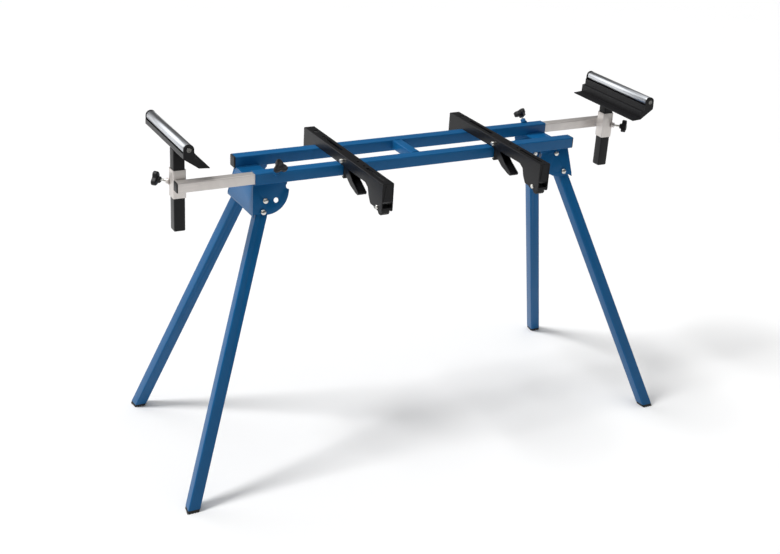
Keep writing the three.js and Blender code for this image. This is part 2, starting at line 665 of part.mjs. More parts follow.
function barFoot(x) {
  const [y, z] = FOOT_PIN;
  const profile = [[y + 6, z - 1], [y + 3, z + 4.7], [y - 4, z + 4.7], [y - 17, z - 3], [y - 17, z - 12],
    [y - 12, z - 17.5], [y - 2, z - 17.5], [y + 4, z - 11], [y + 6, z - 4]];
  const body = alongX(profile, x - 10.5, x + 10.5);
  return body.subtract(rod(V(x - 20, y, z), V(1, 0, 0), PIN_RADIUS + GAP, 40, 20));
}

// ---- assembly ------------------------------------------------------------
add('rail_front', rail(-1), BLUE);
add('rail_rear', rail(1), BLUE);
add('rail_cap_front', railCap(-1), PLASTIC);
add('rail_cap_rear', railCap(1), PLASTIC);
add('cross_member', crossMember(), BLUE);
add('bracket_left', bracket(-1), BLUE);
add('bracket_right', bracket(1), BLUE);

for (const leg of LEG_SET) {
  add(`leg_${leg.name}`, legTube(leg), BLUE);
  add(`foot_${leg.name}`, legFoot(leg), PLASTIC);
  add(`pivot_bolt_${leg.name}`, pivotBolt(leg), STEEL);
  add(`lock_button_${leg.name}`, lockButton(leg), STEEL);
}

for (const [side, word] of [[-1, 'left'], [1, 'right']]) {
  const lockAt = lockStart(side);
  const lockDir = lockAxis(side);
  const heightAt = V(postX(side), side * SLEEVE_Y, KNOB_Z);
  const heightDir = knobAxis(side);
  add(`lock_boss_${word}`, lockBoss(side), BLUE);
  add(`lock_screw_${word}`, clampScrew(lockAt, lockDir, 18, 27), STEEL);
  add(`lock_knob_${word}`, knob(lockAt.clone().addScaledVector(lockDir, 37), lockDir), PLASTIC);
  add(`extension_${word}`, extension(side), STEEL);
  add(`extension_cap_${word}`, extensionCap(side), PLASTIC);
  add(`sleeve_${word}`, sleeve(side), STEEL);
  add(`post_${word}`, post(side), BLACK);
  add(`height_screw_${word}`, clampScrew(heightAt, heightDir, 19.3, 32), STEEL);
  add(`height_knob_${word}`, knob(heightAt.clone().addScaledVector(heightDir, 44), heightDir), PLASTIC);
  add(`cradle_${word}`, cradle(side), BLACK);
  add(`axle_${word}`, axle(side), STEEL);
  add(`roller_${word}`, rollerTube(side), CHROME);
  const x = side * BAR_X;
  add(`tool_bar_${word}`, toolBar(x), BLACK);
  add(`clamp_pin_${word}`, crossPin(x, [PIN_Y, PIN_Z], 8), STEEL);
  add(`clamp_lever_${word}`, lever(x), BLACK);
  add(`clamp_jaw_${word}`, jaw(x), BLACK);
  add(`bar_foot_pin_${word}`, crossPin(x, FOOT_PIN, 3), STEEL);
  add(`bar_foot_${word}`, barFoot(x), PLASTIC);
}

export default group;
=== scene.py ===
import math

import bmesh
import bpy
from mathutils import Matrix, Vector


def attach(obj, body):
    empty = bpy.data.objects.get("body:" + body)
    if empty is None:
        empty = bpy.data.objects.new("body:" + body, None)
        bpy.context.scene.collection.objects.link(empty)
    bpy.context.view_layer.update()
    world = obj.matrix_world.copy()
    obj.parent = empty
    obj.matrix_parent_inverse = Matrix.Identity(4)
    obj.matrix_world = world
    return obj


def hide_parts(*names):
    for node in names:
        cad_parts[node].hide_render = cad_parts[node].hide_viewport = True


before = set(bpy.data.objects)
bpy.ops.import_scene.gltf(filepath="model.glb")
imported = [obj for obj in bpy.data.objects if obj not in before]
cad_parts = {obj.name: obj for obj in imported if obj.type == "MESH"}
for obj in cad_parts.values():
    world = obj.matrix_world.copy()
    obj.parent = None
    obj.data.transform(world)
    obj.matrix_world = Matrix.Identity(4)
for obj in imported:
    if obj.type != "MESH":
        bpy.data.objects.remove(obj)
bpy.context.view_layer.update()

bl_info = {
    "name": "Folding tool stand",
    "version": (1, 0, 0),
    "blender": (4, 5, 0),
    "location": "3D View > Sidebar > Tool stand",
    "description": "Builds a folding work stand with two roller supports and two slotted tool bars",
    "category": "Add Mesh",
}

MM = 0.001

# ---- tolerances for meshes in millimetres ----
SAME_SPOT = 1e-4
SAME_CORNER = 2e-3
FLAT_ANGLE = math.radians(0.6)
SOFT_ANGLE = math.radians(32)

# ---- the stand's layout, in millimetres from the middle of the rails' underside ----
CENTRE_Y = 8.666
RAIL_Z = 751.6
STAND = Matrix.Translation((0, CENTRE_Y * MM, RAIL_Z * MM)) @ Matrix.Scale(MM, 4)
GAP = 0.3
RAIL_HALF = 462.5
RAIL_Y = 65.8
CROSS_X = -8.5
CROSS_SIDE = 25.0
PLATE_CENTRE = (432.0, 22.0)
PLATE_RADIUS = 63.0
PLATE_TOP = -1.0
PLATE_INNER = 373.0
WEB_TOP = 461.0
WEB_BOTTOM = 470.0
WEB_DEPTH = 79.0
DECK_INNER = 400.0
DECK_HALF = 50.4
DECK_TOP = 2.8
NOTCH_RADIUS = 7.5
TILT = math.radians(16.8)
LEG_Y = 45.1
LEG_TOP_X = 415.8
BOLT_RADIUS = 4.0
PIN_STEM = 4.2
PIN_TRAVEL = 3.0
NUT_THICK = 6.0
HEAD_RISE = 4.6
FOOT_RISE = 8.0
PLUG_PLAY = 0.6
EXT_PAST_POST = 13.0
EXT_INSIDE = 430.0
POST_X = {-1: -643.0, 1: 656.0}
SLEEVE_LOW = -20.0
SLEEVE_HIGH = 50.0
POST_LOW = -102.0
POST_HIGH = 100.0
ROLLER_RADIUS = 12.5
ROLLER_BORE = 5.0
ROLLER_HALF = 134.0
ROLLER_OUT = 7.0
ROLLER_Z = 129.5
AXLE_RADIUS = 4.0
HEAD_HALF = 139.0
EAR_RADIUS = 13.0
TROUGH = ((-13.5, -9.0), (-13.5, -21.0), (24.0, -47.0), (50.0, -49.0))
GUARD = ((24.0, -46.0), (24.0, -25.5), (14.5, -24.0), (14.5, -9.0))
LOCK_X = 408.0
KNOB_Z = 15.0
SCREW_RADIUS = 3.0
BOSS_RADIUS = 7.0
KNOB_LOW = 6.0
KNOB_HIGH = 19.0
KNOB_RIM = 3.0
KNOB_MEAN = 15.0
KNOB_LOBE = 4.0
LOCK_SCREW = (18.0, 27.0)
LOCK_KNOB = 37.0
HEIGHT_SCREW = (19.3, 32.0)
HEIGHT_KNOB = 44.0
BAR_X = 220.0
BAR_HALF = 15.0
BAR_TOP = 56.4
BAR_FRONT = -304.5
BAR_BACK = 147.0
BAR_LOW = -13.0
LUG_LOW = -16.5
WINDOW = (-6.0, 10.5)
BAR_SLOTS = ((-52, 62, 8), (-288, -190, 8), (97, 112, 11), (-145.5, -138.5, 6), (-178.5, -172, 6))
CLAMP_PIN = (-88.0, 42.0)
CROSS_PIN = 3.0
LEVER_ANGLE = math.radians(32)
LEVER_LENGTH = 103.0
LEVER_HALF = 11.9
LEVER_SHEET = 2.2
LEVER_SLOT = (78.0, -14.6)
LEVER_SLOPE = math.atan2(8.0, 31.0)
JAW_HALF = 9.0
RAIL_PLAY = 1.5
FOOT_PIN = (-281.0, -9.0)
SIDES = (("left", -1), ("right", 1))

# ---- the stage, in metres ----
FLOOR_HALF = 300.0
CAMERA_PLACE = (-1.5707, -2.7723, 1.8406)
CAMERA_TURN = (65.463, -3.315, -27.474)
CAMERA_SHIFT = (-0.0004, 0.0068)
CAMERA_REACH = 100.0
SENSOR_WIDTH = 36.0
KEY_FROM = (-0.58, 0.08, 0.79)
KEY_SPREAD = math.radians(16)


def V(*numbers):
    return Vector(numbers)


# ---- what a user may change ----
def length(name, description, default):
    return bpy.props.FloatProperty(
        name=name, description=description, default=default, min=0.0,
        unit="LENGTH", subtype="DISTANCE", precision=5,
    )


def tint(name, description, default):
    return bpy.props.FloatVectorProperty(
        name=name, description=description, default=default, size=3, min=0.0, max=1.0, subtype="COLOR"
    )


def strength(name, description, default):
    return bpy.props.FloatProperty(name=name, description=description, default=default, min=0.0)


class STAND_PG_sizes(bpy.types.PropertyGroup):
    """Sizes of the stand's stock and of its small features"""

    rail_side: length("Rail side", "Outer side of the square rail tube", 0.030)
    leg_side: length("Leg side", "Outer side of the square leg tube", 0.030)
    inner_side: length("Sliding tube side", "Outer side of the tubes that slide in a rail or a sleeve", 0.025)
    post_side: length("Post side", "Outer side of the square posts", 0.028)
    sleeve_side: length("Sleeve side", "Outer side of the upright sleeves", 0.0325)
    tube_wall: length("Tube wall", "Wall thickness of every square tube", 0.0018)
    tube_corner: length("Tube corner", "Outer corner radius of the square tubes", 0.003)
    sheet: length("Sheet", "Thickness of the bent sheet parts", 0.0025)
    cradle_sheet: length("Cradle sheet", "Thickness of the folded cradles", 0.0022)
    soft_edge: length("Soft edge", "Width of the broken edges on painted parts", 0.0004)
    bolt_head: length("Bolt head", "Radius of the domed bolt heads", 0.007)
    thread_pitch: length("Thread pitch", "Distance between two turns of a clamp screw", 0.00125)
    bead_radius: length("Weld bead", "Radius of the weld beads", 0.0019)
    bead_pitch: length("Weld ripple", "Distance between two ripples of a weld bead", 0.0022)


class STAND_PG_colours(bpy.types.PropertyGroup):
    """Colours of the stand's finishes"""

    blue: tint("Blue powder coat", "Colour of the rails, brackets and legs", (0.006, 0.100, 0.262))
    black: tint("Black powder coat", "Colour of the bars, posts and cradles", (0.0085, 0.0085, 0.0095))
    steel: tint("Drawn steel", "Colour of the sliding tubes and sleeves", (0.66, 0.62, 0.59))
    zinc: tint("Zinc plate", "Colour of bolts, pins and screws", (0.70, 0.69, 0.66))
    chrome: tint("Roller", "Colour of the polished rollers", (0.60, 0.62, 0.65))
    plastic: tint("Moulded plastic", "Colour of knobs and caps", (0.008, 0.008, 0.009))
    rubber: tint("Rubber", "Colour of the feet", (0.010, 0.010, 0.010))


class STAND_PG_stage(bpy.types.PropertyGroup):
    """The floor, the lights and the camera"""

    floor: tint("Floor", "Colour of the floor", (0.90, 0.90, 0.90))
    top: strength("Upper light", "Strength of the light from above", 1.22)
    back: strength("Back light", "Strength of the glow behind at the left", 2.6)
    low: strength("Lower light", "Strength of the light at the horizon", 0.13)
    key: strength("Key light", "Strength of the soft light from the upper left", 2.4)
    lens: bpy.props.FloatProperty(
        name="Lens", description="Focal length on a 36 mm sensor", default=59.17, min=1.0, unit="CAMERA"
    )


def sizes():
    return bpy.context.scene.stand_sizes


def mm(value):
    return value / MM


# ---- node trees ----
class Value:
    """One socket of a node tree. Arithmetic on it adds the tree's maths nodes."""

    def __init__(self, nodes, socket):
        self.nodes = nodes
        self.socket = socket

    def __add__(self, other):
        return self.nodes.maths("ADD", self, other)

    def __radd__(self, other):
        return self.nodes.maths("ADD", other, self)

    def __sub__(self, other):
        return self.nodes.maths("SUBTRACT", self, other)

    def __rsub__(self, other):
        return self.nodes.maths("SUBTRACT", other, self)

    def __mul__(self, other):
        return self.nodes.maths("MULTIPLY", self, other)

    def __rmul__(self, other):
        return self.nodes.maths("MULTIPLY", other, self)

    def __truediv__(self, other):
        return self.nodes.maths("DIVIDE", self, other)

    def __rtruediv__(self, other):
        return self.nodes.maths("DIVIDE", other, self)


class Nodes:
    """A node tree under construction."""

    def __init__(self, tree):
        self.tree = tree

    def add(self, kind, sockets=None, out=0, stops=None, **settings):
        node = self.tree.nodes.new(kind)
        for key, value in settings.items():
            setattr(node, key, value)
        if stops:
            self.set_stops(node.color_ramp, stops)
        for key, value in (sockets or {}).items():
            for item in value if isinstance(value, list) else [value]:
                if isinstance(item, Value):
                    self.tree.links.new(item.socket, node.inputs[key])
                else:
                    node.inputs[key].default_value = item
        return Value(self, node.outputs[out]) if len(node.outputs) else node

    @staticmethod
    def set_stops(ramp, stops):
        while len(ramp.elements) < len(stops):
            ramp.elements.new(1.0)
        for element, (place, grey) in zip(ramp.elements, stops):
            element.position = place
            element.color = (grey, grey, grey, 1.0)

    def maths(self, operation, *values):
        return self.add("ShaderNodeMath", dict(enumerate(values)), operation=operation)


def geometry_tree(name, inputs):
    tree = bpy.data.node_groups.new(name, "GeometryNodeTree")
    tree.interface.new_socket("Geometry", in_out="OUTPUT", socket_type="NodeSocketGeometry")
    tree.interface.new_socket("Geometry", in_out="INPUT", socket_type="NodeSocketGeometry")
    for label, kind, default in inputs:
        socket = tree.interface.new_socket(label, in_out="INPUT", socket_type=f"NodeSocket{kind}")
        if default is not None:
            socket.default_value = default
    nodes = Nodes(tree)
    start = tree.nodes.new("NodeGroupInput")
    given = {socket.name: Value(nodes, socket) for socket in start.outputs if socket.name}
    return nodes, given


def close_tree(nodes, shape, given):
    real = nodes.add("GeometryNodeRealizeInstances", {"Geometry": shape})
    done = nodes.add("GeometryNodeSetMaterial", {"Geometry": real, "Material": given["Finish"]})
    end = nodes.tree.nodes.new("NodeGroupOutput")
    nodes.tree.links.new(done.socket, end.inputs[0])
    return nodes.tree


def square_tube_tree():
    """A hollow square tube with round corners, standing on the origin."""
    nodes, given = geometry_tree(
        "square_tube",
        [
            ("Length", "Float", 1.0),
            ("Side", "Float", 0.03),
            ("Wall", "Float", 0.0018),
            ("Corner", "Float", 0.003),
            ("Steps", "Int", 6),
            ("Finish", "Material", None),
        ],
    )

    def loop(side, radius):
        square = nodes.add("GeometryNodeCurvePrimitiveQuadrilateral", {"Width": side, "Height": side})
        corners = {"Curve": square, "Count": given["Steps"], "Radius": radius}
        return nodes.add("GeometryNodeFilletCurve", corners, mode="POLY")

    outer = loop(given["Side"], given["Corner"])
    inner = loop(given["Side"] - 2.0 * given["Wall"], given["Corner"] - given["Wall"] * 0.8)
    loops = nodes.add("GeometryNodeJoinGeometry", {"Geometry": [outer, inner]})
    ring = nodes.add("GeometryNodeFillCurve", {"Curve": loops}, mode="TRIANGLES")
    sweep = {"Mesh": ring, "Offset Scale": given["Length"], "Individual": False}
    body = nodes.add("GeometryNodeExtrudeMesh", sweep, mode="FACES")
    under = nodes.add("GeometryNodeFlipFaces", {"Mesh": ring})
    both = nodes.add("GeometryNodeJoinGeometry", {"Geometry": [body, under]})
    closed = nodes.add("GeometryNodeMergeByDistance", {"Geometry": both, "Distance": 1e-6})
    return close_tree(nodes, closed, given)


def weld_bead_tree():
    """A rippled bead along each chain of edges."""
    nodes, given = geometry_tree(
        "weld_bead",
        [
            ("Radius", "Float", 0.0019),
            ("Ripple", "Float", 0.0022),
            ("Seed", "Float", 3.0),
            ("Finish", "Material", None),
        ],
    )
    path = nodes.add("GeometryNodeMeshToCurve", {"Mesh": given["Geometry"]})
    fine = nodes.add(
        "GeometryNodeResampleCurve", {"Curve": path, "Length": given["Ripple"] / 6.0}, mode="LENGTH"
    )
    run = nodes.add("GeometryNodeSplineParameter", out="Length")
    share = nodes.add("GeometryNodeSplineParameter", out="Factor")
    wave = nodes.maths("ABSOLUTE", nodes.maths("SINE", run / given["Ripple"] * math.pi))
    place = nodes.add("GeometryNodeInputPosition")
    drift = nodes.add(
        "ShaderNodeTexNoise", {"Vector": place, "W": given["Seed"], "Scale": 140.0}, noise_dimensions="4D"
    )
    taper = nodes.maths("MINIMUM", nodes.maths("SINE", share * math.pi) * 4.0 + 0.35, 1.0)
    size = given["Radius"] * taper * (0.78 + wave * 0.2 + drift * 0.3)
    profile = nodes.add("GeometryNodeCurvePrimitiveCircle", {"Resolution": 10, "Radius": 1.0})
    bead = nodes.add(
        "GeometryNodeCurveToMesh", {"Curve": fine, "Profile Curve": profile, "Scale": size, "Fill Caps": True}
    )
    smooth = nodes.add("GeometryNodeSetShadeSmooth", {"Geometry": bead})
    return close_tree(nodes, smooth, given)


def screw_thread_tree():
    """A threaded rod standing on the origin."""
    nodes, given = geometry_tree(
        "screw_thread",
        [
            ("Length", "Float", 0.02),
            ("Radius", "Float", 0.003),
            ("Pitch", "Float", 0.00125),
            ("Finish", "Material", None),
        ],
    )
    core = nodes.add(
        "GeometryNodeMeshCylinder",
        {"Vertices": 32, "Radius": given["Radius"] - given["Pitch"] * 0.35, "Depth": given["Length"]},
    )
    lift = nodes.add("ShaderNodeCombineXYZ", {"Z": given["Length"] * 0.5})
    core = nodes.add("GeometryNodeTransform", {"Geometry": core, "Translation": lift})
    turn = given["Radius"] - given["Pitch"] * 0.45
    helix = nodes.add(
        "GeometryNodeCurveSpiral",
        {
            "Resolution": 24,
            "Rotations": given["Length"] / given["Pitch"] - 1.0,
            "Start Radius": turn,
            "End Radius": turn,
            "Height": given["Length"] - given["Pitch"],
        },
    )
    half = nodes.add("ShaderNodeCombineXYZ", {"Z": given["Pitch"] * 0.5})
    helix = nodes.add("GeometryNodeTransform", {"Geometry": helix, "Translation": half})
    profile = nodes.add("GeometryNodeCurvePrimitiveCircle", {"Resolution": 6, "Radius": 1.0})
    ridge = nodes.add(
        "GeometryNodeCurveToMesh",
        {"Curve": helix, "Profile Curve": profile, "Scale": given["Pitch"] * 0.42, "Fill Caps": True},
    )
    both = nodes.add("GeometryNodeJoinGeometry", {"Geometry": [core, ridge]})
    return close_tree(nodes, both, given)


def bolt_tree():
    """A domed bolt with its nut on every point, turned to the point's facing attribute."""
    nodes, given = geometry_tree(
        "domed_bolt",
        [
            ("Head", "Float", 0.007),
            ("Rise", "Float", 0.0046),
            ("Shank", "Float", 0.004),
            ("Grip", "Float", 0.035),
            ("Nut", "Float", 0.006),
            ("Finish", "Material", None),
        ],
    )
    line = nodes.add("GeometryNodeCurvePrimitiveLine", {"End": (0.0, 0.0, 1.0)})
    line = nodes.add("GeometryNodeResampleCurve", {"Curve": line, "Count": 12}, mode="COUNT")
    share = nodes.add("GeometryNodeSplineParameter", out="Factor")
    climb = nodes.maths("SINE", share * (math.pi / 2))
    spot = nodes.add("ShaderNodeCombineXYZ", {"Z": climb * (given["Rise"] - 0.001) + 0.001})
    arc = nodes.add("GeometryNodeSetPosition", {"Geometry": line, "Position": spot})
    circle = nodes.add("GeometryNodeCurvePrimitiveCircle", {"Resolution": 36, "Radius": 1.0})
    width = given["Head"] * (nodes.maths("COSINE", share * (math.pi / 2)) * 0.985 + 0.015)
    dome = nodes.add(
        "GeometryNodeCurveToMesh", {"Curve": arc, "Profile Curve": circle, "Scale": width, "Fill Caps": True}
    )
    dome = nodes.add("GeometryNodeSetShadeSmooth", {"Geometry": dome})

    def cylinder(corners, radius, depth, low):
        shape = nodes.add("GeometryNodeMeshCylinder", {"Vertices": corners, "Radius": radius, "Depth": depth})
        middle = nodes.add("ShaderNodeCombineXYZ", {"Z": depth * 0.5 + low})
        return nodes.add("GeometryNodeTransform", {"Geometry": shape, "Translation": middle})

    flange = cylinder(36, given["Head"], given["Rise"] * 0.22, 0.0)
    shank = cylinder(24, given["Shank"], given["Grip"] + given["Nut"], -1.0 * (given["Grip"] + given["Nut"]))
    nut = cylinder(6, given["Head"], given["Nut"] * 0.82, -1.0 * given["Grip"] - given["Nut"] * 0.82)
    whole = nodes.add("GeometryNodeJoinGeometry", {"Geometry": [dome, flange, shank, nut]})
    facing = nodes.add("GeometryNodeInputNamedAttribute", {"Name": "facing"}, data_type="FLOAT_VECTOR")
    turn = nodes.add("FunctionNodeAlignRotationToVector", {"Vector": facing}, axis="Z")
    points = nodes.add("GeometryNodeMeshToPoints", {"Mesh": given["Geometry"]})
    placed = nodes.add(
        "GeometryNodeInstanceOnPoints", {"Points": points, "Instance": whole, "Rotation": turn}
    )
    return close_tree(nodes, placed, given)


# ---- objects and meshes ----
def add_object(name, data):
    obj = bpy.data.objects.new(name, data)
    bpy.context.scene.collection.objects.link(obj)
    return obj


def evaluated_mesh(obj):
    """A plain mesh of the object with its modifiers applied."""
    depsgraph = bpy.context.evaluated_depsgraph_get()
    return bpy.data.meshes.new_from_object(obj.evaluated_get(depsgraph))


def opened(mesh):
    bm = bmesh.new()
    bm.from_mesh(mesh)
    return bm


def settled(bm, name):
    """A new object from a finished mesh."""
    mesh = bpy.data.meshes.new(name)
    bm.to_mesh(mesh)
    bm.free()
    return add_object(name, mesh)


TREES = {}


def tree(name):
    makers = {
        "square_tube": square_tube_tree,
        "weld_bead": weld_bead_tree,
        "screw_thread": screw_thread_tree,
        "domed_bolt": bolt_tree,
    }
    if name not in TREES:
        TREES[name] = makers[name]()
    return TREES[name]


def grow(name, seed_mesh, inputs):
    """Runs a geometry tree on a mesh and returns the plain mesh it makes."""
    obj = add_object(f"{name}_seed", seed_mesh)
    modifier = obj.modifiers.new(name, "NODES")
    modifier.node_group = tree(name)
    for item in modifier.node_group.interface.items_tree:
        if item.in_out == "INPUT" and item.name in inputs:
            modifier[item.identifier] = inputs[item.name]
    mesh = evaluated_mesh(obj)
    bpy.data.objects.remove(obj)
    return mesh


# ---- solids, in the stand's millimetres ----
def axes(origin, ex, ey, ez):
    matrix = Matrix((ex, ey, ez)).transposed().to_4x4()
    matrix.translation = origin
    return matrix


def around(origin, axis):
    ez = axis.normalized()
    helper = V(0, 0, 1) if abs(ez.z) < 0.9 else V(1, 0, 0)
    ex = helper.cross(ez).normalized()
    return axes(origin, ex, ez.cross(ex), ez)


def solid(bm):
    bmesh.ops.remove_doubles(bm, verts=bm.verts, dist=SAME_SPOT)
    bmesh.ops.recalc_face_normals(bm, faces=bm.faces)
    return settled(bm, "solid")


def prism(outline, depth, at):
    """A closed body: a flat outline swept along the third axis."""
    bm = bmesh.new()
    low = [bm.verts.new(at @ V(x, y, 0)) for x, y in outline]
    high = [bm.verts.new(at @ V(x, y, depth)) for x, y in outline]
    bm.faces.new(low)
    bm.faces.new(high)
    for i in range(len(outline)):
        j = (i + 1) % len(outline)
        bm.faces.new((low[i], low[j], high[j], high[i]))
    return solid(bm)


def lathe(profile, at, steps=48):
    """A closed turned body: the profile of (radius, height) starts and ends on the axis."""
    bm = bmesh.new()
    rings = []
    for radius, height in profile:
        if radius < 1e-6:
            rings.append([bm.verts.new(at @ V(0, 0, height))])
            continue
        turn = [2 * math.pi * i / steps for i in range(steps)]
        rings.append([bm.verts.new(at @ V(radius * math.cos(a), radius * math.sin(a), height)) for a in turn])
    for below, above in zip(rings, rings[1:]):
        for i in range(steps):
            j = (i + 1) % steps
            picks = ((below, i), (below, j), (above, j), (above, i))
            unique = list(dict.fromkeys(ring[k % len(ring)] for ring, k in picks))
            if len(unique) > 2:
                bm.faces.new(unique)
    return solid(bm)


def rod(start, axis, radius, depth, steps=48):
    return lathe([(0, 0), (radius, 0), (radius, depth), (0, depth)], around(start, axis), steps)


def box(x0, x1, y0, y1, z0, z1):
    return prism([(x0, y0), (x1, y0), (x1, y1), (x0, y1)], z1 - z0, Matrix.Translation((0, 0, z0)))


def combine(body, operation, tools):
    for tool in tools:
        modifier = body.modifiers.new("combine", "BOOLEAN")
        modifier.operation = operation
        modifier.solver = "MANIFOLD"
        modifier.object = tool
        mesh = evaluated_mesh(body)
        body.modifiers.remove(modifier)
        if not mesh.polygons:
            raise RuntimeError(f"{operation} left nothing of {body.name}")
        body.data = mesh
        bpy.data.objects.remove(tool)
    return body


def cut(body, *tools):
    return combine(body, "DIFFERENCE", tools)


def join(body, *tools):
    return combine(body, "UNION", tools)


def meet(body, *tools):
    return combine(body, "INTERSECT", tools)


def fillet(points, radius, closed=True, steps=5):
    """Rounds the corners of an outline. A point may carry a radius of its own."""
    result = []
    count = len(points)
    for i, point in enumerate(points):
        here = V(point[0], point[1])
        bend = point[2] if len(point) > 2 else radius
        if not closed and i in (0, count - 1):
            result.append(tuple(here))
            continue
        before = V(*points[i - 1][:2]) - here
        after = V(*points[(i + 1) % count][:2]) - here
        angle = before.angle(after)
        if bend <= 0 or angle > math.pi - 0.02:
            result.append(tuple(here))
            continue
        reach = min(bend / math.tan(angle / 2), 0.49 * before.length, 0.49 * after.length)
        bend = reach * math.tan(angle / 2)
        centre = here + (before.normalized() + after.normalized()).normalized() * (bend / math.sin(angle / 2))
        first = here + before.normalized() * reach - centre
        last = here + after.normalized() * reach - centre
        sweep = first.angle_signed(last) if first.length > 1e-6 else 0.0
        for k in range(steps + 1):
            part = first.copy()
            part.rotate(Matrix.Rotation(-sweep * k / steps, 2))
            result.append(tuple(centre + part))
    return result


def thick_line(points, thickness, radius):
    """The section of a folded sheet, from one of its faces."""
    path = [V(*p) for p in fillet(points, radius, closed=False)]
    other = []
    for i, here in enumerate(path):
        before = (here - path[i - 1]).normalized() if i else (path[1] - here).normalized()
        after = (path[i + 1] - here).normalized() if i + 1 < len(path) else before
        way = (before + after).normalized()
        square = V(-way.y, way.x)
        stretch = thickness / max(square.dot(V(-before.y, before.x)), 0.4)
        other.append(here + square * stretch)
    return [tuple(p) for p in path + other[::-1]]


def square(width, height, radius, steps=6):
    w, h = width / 2, height / 2
    return fillet([(w, -h), (w, h), (-w, h), (-w, -h)], radius, steps=steps)


def tube(start, direction, ex, ey, side, depth, corner=None):
    """A length of square tube from a point, made by the square tube tree."""
    s = sizes()
    mesh = grow(
        "square_tube",
        bpy.data.meshes.new("empty"),
        {
            "Length": depth,
            "Side": side,
            "Wall": mm(s.tube_wall),
            "Corner": mm(s.tube_corner) if corner is None else corner,
            "Steps": 6,
        },
    )
    bm = opened(mesh)
    low = min(v.co.z for v in bm.verts)
    for vertex in bm.verts:
        vertex.co.z -= low
    bm.transform(axes(start, ex, ey, direction))
    return solid(bm)


def place_mesh(mesh, at):
    """A mesh made in metres, put at a place in the stand's millimetres."""
    bm = opened(mesh)
    bm.transform(at @ Matrix.Scale(1 / MM, 4))
    return settled(bm, "placed")


# ---- finishing ----
def clean(mesh):
    bm = opened(mesh)
    bmesh.ops.remove_doubles(bm, verts=bm.verts, dist=SAME_CORNER)
    bmesh.ops.dissolve_limit(
        bm, angle_limit=FLAT_ANGLE, verts=bm.verts, edges=bm.edges, use_dissolve_boundaries=False
    )
    bm.to_mesh(mesh)
    bm.free()


def finish_piece(obj, name, body, finish, nodes=(), edge=None, smooth=35.0):
    """Softens the edges, sets the place and the finish, and hands the piece to its body."""
    edge = mm(sizes().soft_edge) if edge is None else edge
    if edge > 0:
        clean(obj.data)
        bevel = obj.modifiers.new("edge", "BEVEL")
        bevel.width = edge
        bevel.segments = 2
        bevel.limit_method = "ANGLE"
        bevel.angle_limit = SOFT_ANGLE
        bevel.use_clamp_overlap = True
        obj.data = evaluated_mesh(obj)
        obj.modifiers.clear()
    obj.data.transform(STAND)
    obj.data.shade_smooth()
    obj.data.set_sharp_from_angle(angle=math.radians(smooth))
    obj.data.materials.clear()
    obj.data.materials.append(finish)
    obj.name = name
    obj.data.name = name
    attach(obj, body)
    if nodes:
        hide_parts(*nodes)
    return obj


# ---- finishes ----
def finish_base(name):
    material = bpy.data.materials.get(name)
    if material:
        return material, None, None, None
    material = bpy.data.materials.new(name)
    material.use_nodes = True
    material.node_tree.nodes.clear()
    nodes = Nodes(material.node_tree)
    place = nodes.add("ShaderNodeTexCoord", out="Object")
    shader = material.node_tree.nodes.new("ShaderNodeBsdfPrincipled")
    end = material.node_tree.nodes.new("ShaderNodeOutputMaterial")
    material.node_tree.links.new(shader.outputs[0], end.inputs[0])
    return material, nodes, place, shader


SHADER_INPUTS = {
    "colour": "Base Color",
    "roughness": "Roughness",
    "metallic": "Metallic",
    "normal": "Normal",
    "specular": "Specular IOR Level",
}


def feed(nodes, shader, **values):
    """Links what changes over a surface to its shader, and sets what doesn't."""
    for key, value in values.items():
        socket = shader.inputs[SHADER_INPUTS[key]]
        if isinstance(value, Value):
            nodes.tree.links.new(value.socket, socket)
        else:
            socket.default_value = value


def stretched(nodes, place, scale):
    return nodes.add("ShaderNodeMapping", {"Vector": place, "Scale": scale})


def noise(nodes, place, scale, detail=3.0, roughness=0.55, distortion=0.0):
    return nodes.add(
        "ShaderNodeTexNoise",
        {"Vector": place, "Scale": scale, "Detail": detail, "Roughness": roughness, "Distortion": distortion},
    )


def ramp(nodes, value, stops):
    return nodes.add("ShaderNodeValToRGB", {"Fac": value}, stops=stops)


def tone(nodes, factor, first, second):
    """A blend of two colours, each plain or made by a node."""
    first, second = (item if isinstance(item, Value) else (*item, 1.0) for item in (first, second))
    return nodes.add("ShaderNodeMix", {"Factor": factor, 6: first, 7: second}, out=2, data_type="RGBA")


def bump(nodes, height, strength, distance):
    return nodes.add("ShaderNodeBump", {"Height": height, "Strength": strength, "Distance": distance})


def scaled(colour, factor):
    return tuple(min(c * factor, 1.0) for c in colour)


def powder_coat(name, colour, gloss, lighter=1.35):
    """Baked powder paint: orange peel, cloudy shade, fine specks and faint rubbed marks."""
    material, nodes, place, shader = finish_base(name)
    if nodes is None:
        return material
    cloud = noise(nodes, place, 9.0, 4.0)
    peel = noise(nodes, place, 620.0, 2.0, 0.45)
    speck = ramp(nodes, noise(nodes, place, 2600.0, 1.0), [(0.66, 0.0), (0.74, 1.0)])
    worn = noise(nodes, stretched(nodes, place, (18, 18, 60)), 9.0, 6.0, 0.7, 0.6)
    rub = ramp(nodes, worn, [(0.60, 0.0), (0.78, 1.0)])
    shade = tone(nodes, cloud, scaled(colour, 0.90), scaled(colour, 1.10))
    paint = tone(nodes, speck * 0.25 + rub * 0.10, shade, scaled(colour, lighter))
    rough = gloss + (cloud - 0.5) * 0.10 + (peel - 0.5) * 0.10 + rub * 0.08
    feed(nodes, shader, colour=paint, roughness=rough, normal=bump(nodes, peel, 0.35, 0.00010), specular=0.17)
    return material


